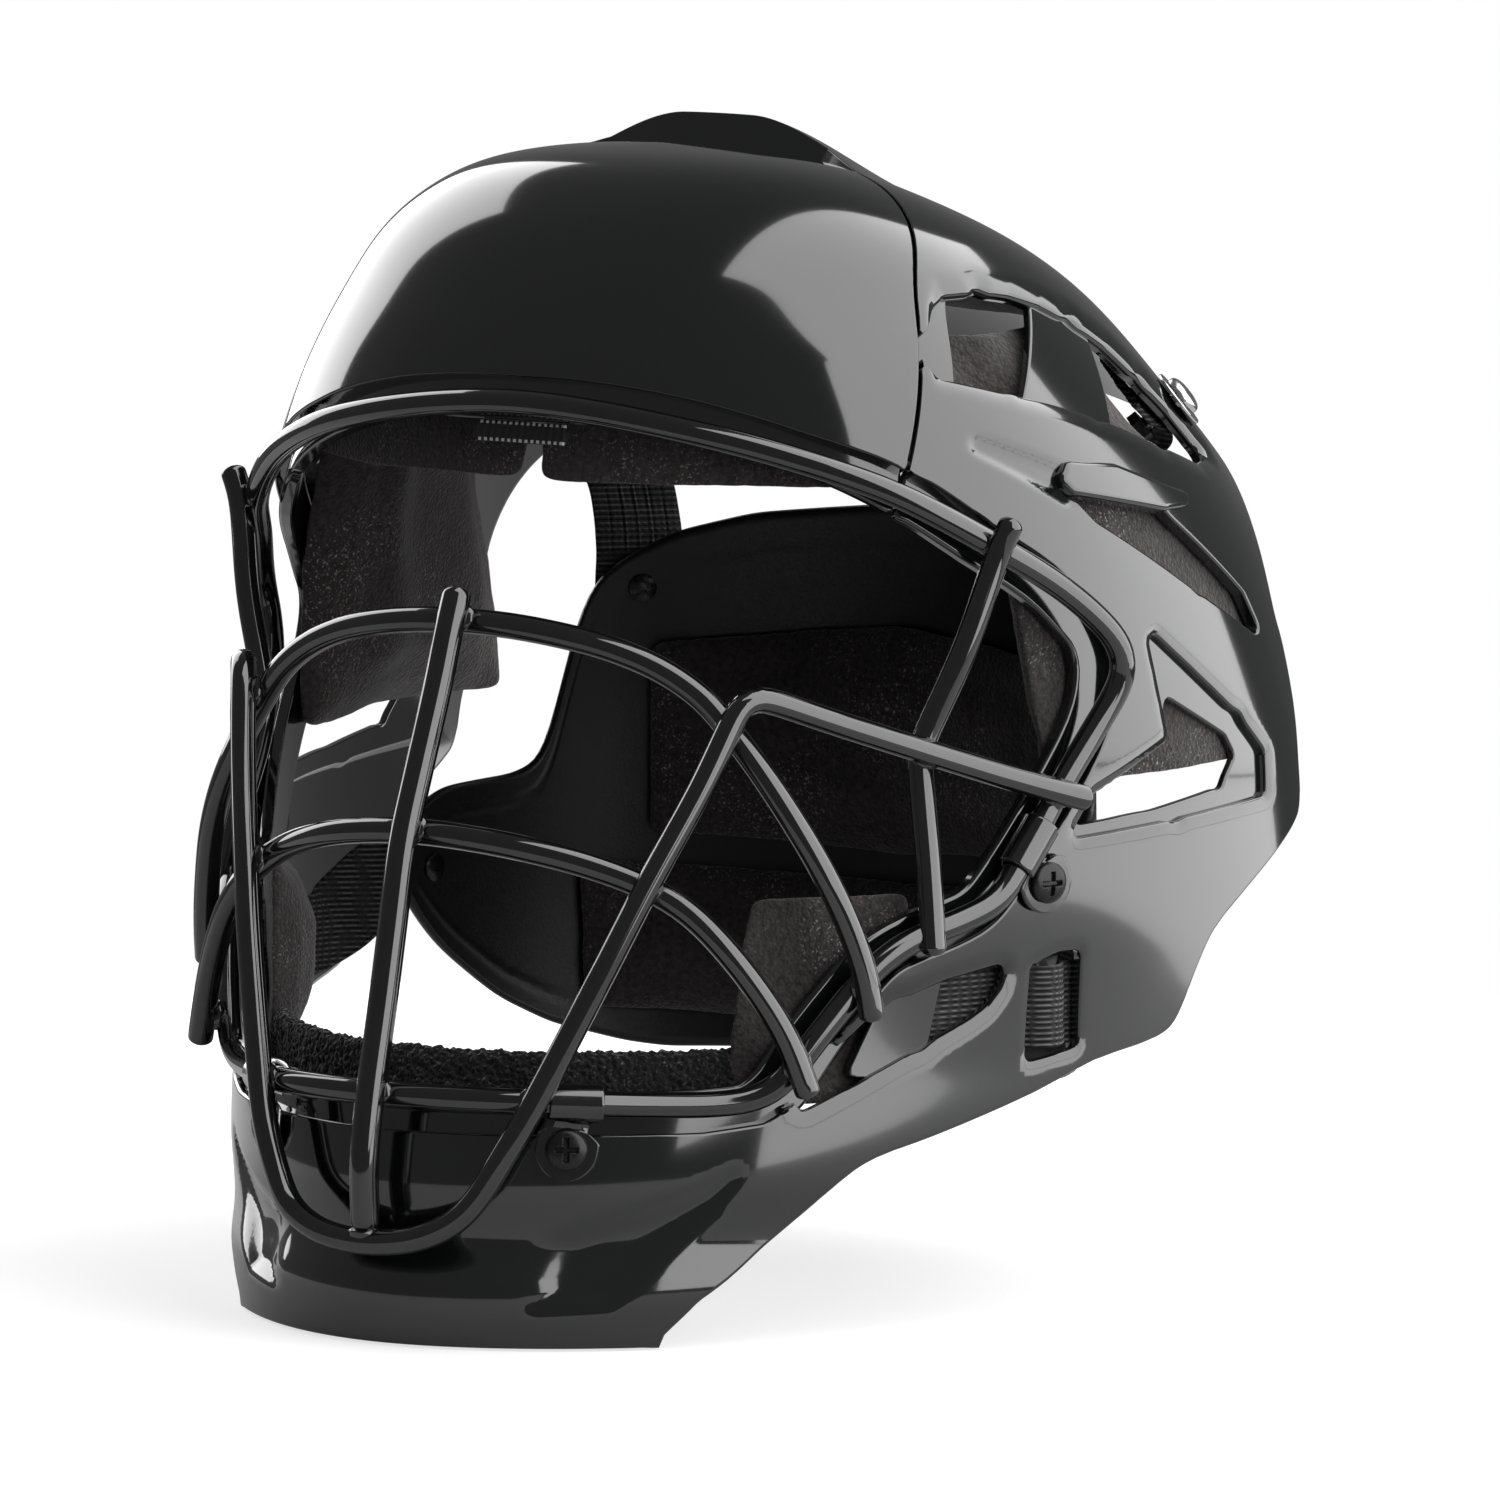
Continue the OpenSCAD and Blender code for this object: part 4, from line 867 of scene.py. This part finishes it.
def texture(ob, fn):
    """Moves each point along its normal by fn(points in mm), in mm."""
    co, no = read(ob.data, "co"), read(ob.data, "normal")
    ob.data.vertices.foreach_set("co", (co + no * (fn(co / MM) * MM)[:, None]).ravel())
    ob.data.update()


def folds(p):
    """Shallow drawn folds of a stretched knit."""
    return np.array([0.55 * mn.noise((q[0] * 0.05, q[1] * 0.05, q[2] * 0.11)) + 0.16 * mn.noise((q * 0.35).tolist())
                     for q in p])


def tufts(p):
    """Terry loops."""
    return np.array([0.95 * abs(mn.noise((q * 0.55).tolist())) + 0.55 * mn.noise((q * 1.1).tolist()) for q in p])


def cushion(name, sheet, nu, nv, node, cap, bulge, slot="liner_fabric", body="helmet", levels=2, detail=folds,
            turns=3):
    """Soft pad: an even quad mesh, inflated, drawn in along its stitched hem, smoothed and given its surface."""
    pts, faces, carried, hem = closed(sheet, nu, nv, turns, bulge)
    ob = new_mesh(name, metres(pts), faces)
    outward(ob)
    settle(ob, carried, pts, cap)
    v = ob.data.vertices
    for a, b in hem:
        v[a].co = v[a].co.lerp(v[b].co, STITCH)
    subdivide(ob, levels)
    texture(ob, detail)
    place(ob, slot, body, node)


def crowned(u, v, edge):
    return edge + (1 - edge) * (1 - np.abs(2 * u - 1) ** 4) * (1 - np.abs(2 * v - 1) ** 4)


def patch(z0, z1, a0, a1, depth, t, side=1, edge=0.3):
    """Pad of thickness t on the inner face of the shell, between two heights and two angles."""
    def sheet(u, v, k):
        z, a = z0 + (z1 - z0) * u, a0 + (a1 - a0) * v
        return skin(z, a, depth(z, a) + 0.1 + k * (t * crowned(u, v, edge) - 1.2)) * [side, 1, 1]
    return sheet


def brow_depth(z, a):
    return LINER + 0.3 - (LINER - LAP) * step(222, 230, z)


def side_depth(z, a):
    return LINER + 0.5 - (LINER - BARE - 0.2) * step(76, 84, a) + 1.9 * step(194, 203, z)


def jaw_depth(z, a):
    return BARE + 1.5 + (LINER - BARE - 1) * step(50, 58, z - 1.27 * (a - 34))


def chin_depth(z, a):
    return BARE + 0.4 + (LINER - BARE + 0.95) * step(27, 42, z)


SIDES = ((1, "left"), (-1, "right"))
for side, word in SIDES:
    cushion("brow_liner_" + word, patch(196, 234, 1.2, 52, brow_depth, BROW_T, side), 10, 26, "brow_pad_" + word,
            1.8, 1.6)
    cushion("side_liner_" + word, patch(126, 226, 67, 105, side_depth, SIDE_T, side), 20, 14, "side_pad_" + word,
            2.0, 1.4, turns=4)
    cushion("jaw_liner_" + word, patch(57, 102, 35, 50.5, jaw_depth, BROW_T, side), 9, 10, "jaw_pad_" + word,
            1.8, 1.2)
cushion("crown_liner", patch(225, 251, 103, 257, lambda z, a: BARE + 0.3, BROW_T + 1), 10, 30, "crown_pad",
        1.8, 1.2)
cushion("chin_liner", patch(18, 67.5, -36, 36, chin_depth, CHIN_T, edge=0.45), 16, 52, "chin_pad", 1.4, 1.6,
        "terry_fabric", levels=3, detail=tufts)

PAD_FROM, PAD_TO, PUFF, PLATE_T = 3.7, 8, 5, 3.0


def plate_sheet(low, high, wide):
    """Pad on the inner face of the back plate."""
    def sheet(u, v, k):
        p = -wide + 2 * wide * v
        z0, z1 = table(low, np.abs(p)), table(high, np.abs(p))
        return plate_pt(p, z0 + (z1 - z0) * u, PAD_FROM + k * (PAD_TO - PAD_FROM + PUFF * crowned(u, v, 0) - 1.0))
    return sheet


cushion("plate_liner", plate_sheet([(0, 92), (42, 96)], [(0, 146), (42, 140)], 42), 12, 28, "plate_pad",
        1.8, 1.0, body="back_plate")
cushion("nape_liner", plate_sheet([(0, 50), (54, 55)], [(0, 84), (54, 88)], 54), 9, 34, "nape_pad",
        1.8, 1.0, body="back_plate")

PLAN = np.linspace(-91, 91, 365)
TOP_LINE, LOW_LINE = (blur(table(rows, np.abs(PLAN)), 3.5) for rows in (PLATE_TOP, PLATE_LOW))


def plate_body(u, v, k):
    """Cupped sheet with wings and a shallow rib near its hem."""
    p = -91 + 182 * v
    z0, z1 = np.interp(p, PLAN, LOW_LINE), np.interp(p, PLAN, TOP_LINE)
    rib = 0.25 * np.exp(-((np.minimum(u, 1 - u) * (z1 - z0) - 6) / 1.1) ** 2)
    return plate_pt(p, z0 + (z1 - z0) * u, k * PLATE_T + (rib if k else -rib))


pts, faces, _, _ = closed(plate_body, 60, 180, 4, 0.7)
plate = new_mesh("back_plate_sheet", metres(pts), faces)
outward(plate)
place(plate, "plate_plastic", "back_plate", "back_plate")


def strip(parts, centre, wide, width, t, roundness=0.45, rib=None):
    """Flat strip with rounded edges swept along centre; wide gives its width direction at each point."""
    m = len(centre)
    tan = unit(np.gradient(centre, axis=0))
    u = unit(wide - (wide * tan).sum(-1, keepdims=True) * tan)
    v = np.cross(tan, u)
    flat = np.linspace(-1, 1, 33)
    arc = np.linspace(-pi / 2, pi / 2, 7)[1:-1]
    prof = np.array([(x, 1.0, 0.0) for x in flat] + [(1, sin(-y), cos(y)) for y in arc]
                    + [(-x, -1.0, 0.0) for x in flat] + [(-1, sin(y), cos(y)) for y in arc])
    r = t * roundness
    half = np.maximum(np.broadcast_to(width, m) / 2 - r, 0.02)[:, None]
    across = prof[:, 0] * half + np.sign(prof[:, 0]) * prof[:, 2] * r
    up = prof[:, 1] * t / 2
    if rib is not None:
        up = up + np.sign(prof[:, 1]) * rib(across, travel(centre)[:, None]) * (prof[:, 2] < 0.01)
    pts = centre[:, None] + across[..., None] * u[:, None] + up[..., None] * v[:, None]
    parts.append((pts.reshape(-1, 3), sweep_faces(m, len(prof))))


def joined(name, parts):
    """One object of several closed parts."""
    v, f, n = [], [], 0
    for a, b in parts:
        v.append(a)
        f.extend([tuple(i + n for i in q) for q in b])
        n += len(a)
    ob = new_mesh(name, metres(cat(v)), f)
    outward(ob)
    ob.data.set_sharp_from_angle(angle=radians(48))
    return ob


def sided(parts, side):
    """The same parts on the wearer's left (1) or mirrored to the right (-1)."""
    return [(a * [side, 1, 1], b) for a, b in parts]


def weave(across, along):
    """Cords of an elastic webbing: ribs along it, crossed by fine picks."""
    return 0.16 * np.cos(across * 2 * pi / 1.5) + 0.05 * np.cos(along * 2 * pi / 0.9)


STRAP_T = 1.5
SIDE_PTS = cat([skin(74.7, a, d)[None] for a, d in (
    (52, 6.2), (56, 5.8), (60, 5.4), (61.2, 5), (62, 3), (62.8, 1.1), (63.6, 0.4), (64.4, 1), (65, 3), (65.7, 5),
    (67, 5.8))] + [np.array([[104.2, -42.8, 77.5], [99.5, -38.6, 83.5], [95, -34.8, 88.5]])]
    + [plate_pt(p, 90.0, -1.8)[None] for p in (85.5, 83, 80, 77)])
TOP_PTS = cat([skin(z, 121.8 + (211 - z) * 0.5, 3.2 + 2.9 + 0.8)[None] for z in (211, 206, 200)]
                         + [np.array([[77, 32.5, 190], [70.5, 32.5, 179], [65.5, 28.6, 170]])]
                         + [plate_pt(44, z, -1.8)[None] for z in (163.0, 156.0, 148.0)])


def strap(kind, side, word, points, wide_from, wide_to, width):
    """Elastic strap that follows the helmet up to one of its points, and the back plate from another on."""
    path = bend(points, 0.8)
    share = np.linspace(0, 1, len(path))[:, None]
    got = []
    strip(got, path, np.array(wide_from) * (1 - share) + np.array(wide_to) * share, width, STRAP_T, rib=weave)
    ob = joined(kind + "_elastic_" + word, sided(got, side))
    place(ob, "strap_elastic", node=kind + "_strap_" + word)
    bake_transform(ob)


for side, word in SIDES:
    strap("side", side, word, SIDE_PTS, (0, 0, 1), (0, 0, 1), 19)
    strap("top", side, word, TOP_PTS, (0.54, -0.84, 0), (0.76, -0.66, 0), 21)


def lathe(parts, foot, n, prof, sides, dip=None, spin=0.0):
    """Turned part: prof lists radius and height along n; dip lowers points by their place on the top."""
    n = unit(n)
    u = unit(np.cross([0, 0, 1.0] if abs(n[2]) < 0.9 else [1.0, 0, 0], n))
    v = np.cross(n, u)
    ang = np.linspace(0, 2 * pi, sides, endpoint=False) + spin
    r, h = np.array(prof, float).T[..., None]
    x, y, z = r * np.cos(ang), r * np.sin(ang), h + 0 * ang
    if dip is not None:
        z = z - dip(x, y) * (h > 0)
    pts = foot + x[..., None] * u + y[..., None] * v + z[..., None] * n
    parts.append((pts.reshape(-1, 3), sweep_faces(len(prof), sides)))


def dome(r, h, base, steps=26):
    """Pan head from its rim inward, down to a tiny centre ring."""
    prof = [(r - 0.25, base), (r, base + 0.2), (r, base + 0.35 * h)]
    for x in np.linspace(0, 1, steps)[1:]:
        prof.append((max(r * (1 - x), 0.02), base + 0.35 * h + 0.65 * h * sqrt(max(1 - (1 - x) ** 2.6, 0))))
    return prof


def cross_dip(x, y):
    """Cross recess of a screw head."""
    a = np.maximum(np.abs(x) - 0.5, np.abs(y) - 2.7)
    b = np.maximum(np.abs(y) - 0.5, np.abs(x) - 2.7)
    return 1.1 * step(0.18, -0.12, np.minimum(a, b))


def station(z, a):
    """Point on the shell and its outward direction."""
    p = skin(z, a)
    e = skin(z, a + 0.4) - skin(z, a - 0.4)
    f = skin(z + 0.8, a) - skin(z - 0.8, a)
    n = unit(np.cross(e, f))
    return p, n if n[0] * p[0] > 0 else -n


CHIN_AT, SIDE_AT, SNAP_AT = station(48.1, 20.6), station(104.3, 62.8), station(206.2, 121.8)
CLIP_GAP, CLIP_T, CLIP_W, HEAD_R, HEAD_H = 0.2, 1.3, 14.5, 4.8, 2.2
LIFT, NECK = 0.7, 0.42


def clip(parts, c, d, length, foot, n):
    """Bent sheet clip: sleeve round the wire, neck, and round-ended tab under the screw."""
    c, d = np.array(c, float), unit(np.array(d, float))
    to = foot - c
    q = unit(to - (to @ d) * d)
    way = unit(np.cross(n, -to))
    up = np.cross(way, n)
    e = np.cross(d, q)
    if e @ n < 0:
        e = -e
    r = WIRE + CLIP_GAP + CLIP_T / 2
    base = foot + n * (LIFT + CLIP_T / 2)
    tip = np.linspace(CLIP_W / 2, 0, 14)
    tab = [base - up * x for x in tip] + [base + up * x for x in np.linspace(0.5, HEAD_R + 0.4, 6)]
    half = [sqrt(max(1 - (x / (CLIP_W / 2)) ** 2, 0.0)) for x in tip] + [1.0] * 6
    wrap = [c + r * (q * cos(x) + e * sin(x)) for x in np.linspace(0.25, 2 * pi - 0.35, 40)]
    path = np.array(tab + wrap)
    wide = np.array([way] * len(tab) + [d if d @ way > 0 else -d] * len(wrap))
    width = np.array([max(CLIP_W * h, 1.2) for h in half] + [length] * len(wrap))
    run = travel(path)
    at = np.linspace(0, run[-1], 150)
    path, wide, width = resample(at, run, path), resample(at, run, wide), np.interp(at, run, width)
    soft = (step(6, 9, at) * step(2, 4, run[-1] - at))[:, None]
    begin = run[len(tab)]
    width = width * (1 - NECK * step(9.5, 12.5, at) * step(begin + 2.5, begin, at))
    strip(parts, path * (1 - soft) + blur(path, 2.0) * soft, blur(wide, 6.0), width, CLIP_T, 0.3)


place(joined("cage_weld_beads", beads), "cage_wire", "helmet")

screws = []
for side, word in SIDES:
    for label, hold, (foot, n) in (("chin", ((42.5, -159.6, 58.8), (23, 19.5, -1.4), 12.5), CHIN_AT),
                                   ("side", ((108.4, -71.5, 112.8), (5, 17, 22.5), 13.0), SIDE_AT)):
        got = []
        clip(got, *hold, foot, n)
        place(joined(label + "_bracket_" + word, sided(got, side)),
              "bright_metal" if label + word == "chinright" else "clip_metal", "helmet", label + "_clip_" + word)
        got = []
        lathe(got, foot + n * (LIFT + CLIP_T), n, dome(HEAD_R, HEAD_H, 0.05), 96, cross_dip, 0.5)
        lathe(got, foot, n, [(1.7, -6.2), (1.9, -6.0), (1.9, LIFT + CLIP_T + 0.1)], 24)
        screws += sided(got, side)
place(joined("clip_screw_set", screws), "screw_black", "helmet", "clip_screws")

RING = coords("7,0 7.2,0.15 7.2,0.6 6.9,0.85 6.2,0.9 5.6,0.75 5,0.75 2.1,0.75")
RIVET = coords("3.2,-3.9 3.4,-3.7 3.4,-3.1 2,-3 2,3.6 4,3.7 3.9,4.2 3.3,4.75 2.2,5.1 0.8,5.2")
snaps, washers, rivets = [], [], []
foot, n = SNAP_AT
lathe(snaps, foot + n * 1.3, n, dome(HEAD_R, HEAD_H + 0.4, 0.05), 64)
lathe(snaps, foot, n, [(1.7, -12), (1.9, -11.8), (1.9, 1.4)], 24)
lathe(washers, foot + n * 0.4, n, RING, 64)
for p, z in ((84, 90), (44, 154)):
    q = plate_pt(p, float(z), 0.0)
    lathe(rivets, q, np.array([q[0] * 0.93, q[1] - PLATE_C[0], 0]), RIVET, 40)
for name, got, slot, body, node in (("snap_button_set", snaps, "bright_metal", "helmet", "snap_screws"),
                                    ("snap_washer_set", washers, "bright_metal", "helmet", "snap_washers"),
                                    ("strap_rivet_set", rivets, "screw_black", "back_plate", "plate_rivets")):
    place(joined(name, got + sided(got, -1)), slot, body, node)

# Rubber bumper on the flange behind the wire.
got = []
lo, hi = (np.array(q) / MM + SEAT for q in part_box("brow_bumper"))
path = np.full((60, 3), (lo + hi) / 2)
path[:, 0] = np.linspace(lo[0], hi[0], 60)
strip(got, path, np.array([[0, sin(BUMPER_TILT), cos(BUMPER_TILT)]] * 60), 5.0, 1.0, 0.45,
      lambda a, s: 0.12 * np.cos(s * 2 * pi / 2.0) * (np.abs(a) < 1.6))
place(joined("flange_bumper", got), "bumper_rubber", "helmet", "brow_bumper")

# The nuts keep their solids, with a material.
for n in ("clip_nuts", "snap_nuts"):
    nodes[n].data.materials.clear()
    nodes[n].data.materials.append(MATS["screw_black"])

# Camera: 33 degrees round to the wearer's left of the front, 6.5 degrees above, 4 m away.
AZ, EL = radians(33), radians(6.5)
RIGHT = Vector((cos(AZ), sin(AZ), 0))
BACK = Vector((sin(AZ) * cos(EL), -cos(AZ) * cos(EL), sin(EL)))
UP = BACK.cross(RIGHT)
aim = Vector(metres((0, 0, 140)))
bpy.context.scene.view_settings.view_transform = "Standard"
cam_data = bpy.data.cameras.new("camera")
cam_data.sensor_width, cam_data.lens, cam_data.clip_end = 36, 408, 30
cam_data.shift_x, cam_data.shift_y = -(801.7 - 750) / 1500, -(750 - 669) / 1500
cam = new_object("camera", cam_data)
cam.matrix_world = Matrix((RIGHT, UP, BACK)).transposed().to_4x4()
cam.location = aim + BACK * 4
bpy.context.scene.camera = cam


def panel_light(name, corner, across, along, radiance):
    """Rectangular soft panel from one corner and its two edges, facing the helmet."""
    corner, across, along = Vector(corner), Vector(across), Vector(along)
    middle = corner + across / 2 + along / 2
    if across.cross(along).dot(Vector((0, 0, -0.1)) - middle) > 0:
        across, along = along, across
    d = bpy.data.lights.new(name, "AREA")
    d.shape, d.size, d.size_y = "RECTANGLE", across.length, along.length
    d.energy = radiance * pi * across.length * along.length
    o = new_object(name, d)
    o.location = middle
    turned = Matrix((across.normalized(), along.normalized(), across.cross(along).normalized()))
    o.rotation_euler = turned.transposed().to_euler()


LEVEL = 2.9
panel_light("wall_right", (1.25, -0.92, -0.2), (0, 3.0, 0), (0, 0, 1.55), LEVEL)
panel_light("low_right", (1.25, -0.5, -0.5), (0, 2.5, 0), (0, 0, 0.29), LEVEL)
panel_light("overhead", (0.1, -0.85, 1.35), (1.15, 0, 0), (0, 3.1, 0), LEVEL)
panel_light("wall_left", (-1.25, -0.05, -0.1), (0, 1.25, 0), (0, 0, 1.4), LEVEL * 0.9)


# A round pale floor; it fades to the white surround before its edge.
z = float(first[0][2]) - 0.0005
ring = [(0.52 * cos(x), 0.52 * sin(x), z) for x in np.linspace(0, 2 * pi, 96, endpoint=False)]
floor = new_mesh("floor", ring, [tuple(range(96))])
fm = Mat("floor", Base_Color=(0.36, 0.36, 0.36, 1), Roughness=0.9, Emission_Color=(1, 1, 1, 1))
ray = fm.t.nodes.new("ShaderNodeLightPath").outputs
away = fm.node("VectorMath", operation="LENGTH", Vector=fm.pos).outputs["Value"]
fade = fm.node("MapRange", interpolation_type="SMOOTHSTEP", Value=away, From_Min=0.24, From_Max=0.44, To_Min=0.66,
               To_Max=1.0)
seen = fm.math("ADD", fm.math("ADD", ray["Is Camera Ray"], ray["Is Transmission Ray"]),
               fm.times(ray["Is Glossy Ray"], 0.1))
fm.link(fm.times(fade.outputs[0], seen), "Emission Strength")
floor.data.materials.append(fm.mat)

# The surround: white to the camera and through glass, and dim to all other rays.
world = bpy.data.worlds.new("world")
bpy.context.scene.world = world
world.use_nodes = True
wt = world.node_tree
ray = wt.nodes.new("ShaderNodeLightPath").outputs
glow = wt.nodes["Background"].inputs
glow[0].default_value = (1, 1, 1, 1)
sky = math_node(wt, "ADD", ray["Is Camera Ray"], ray["Is Transmission Ray"])
sky = math_node(wt, "MAXIMUM", sky, math_node(wt, "MULTIPLY", ray["Is Glossy Ray"], 0.13))
feed(wt, glow[1], math_node(wt, "MAXIMUM", sky, 0.12))
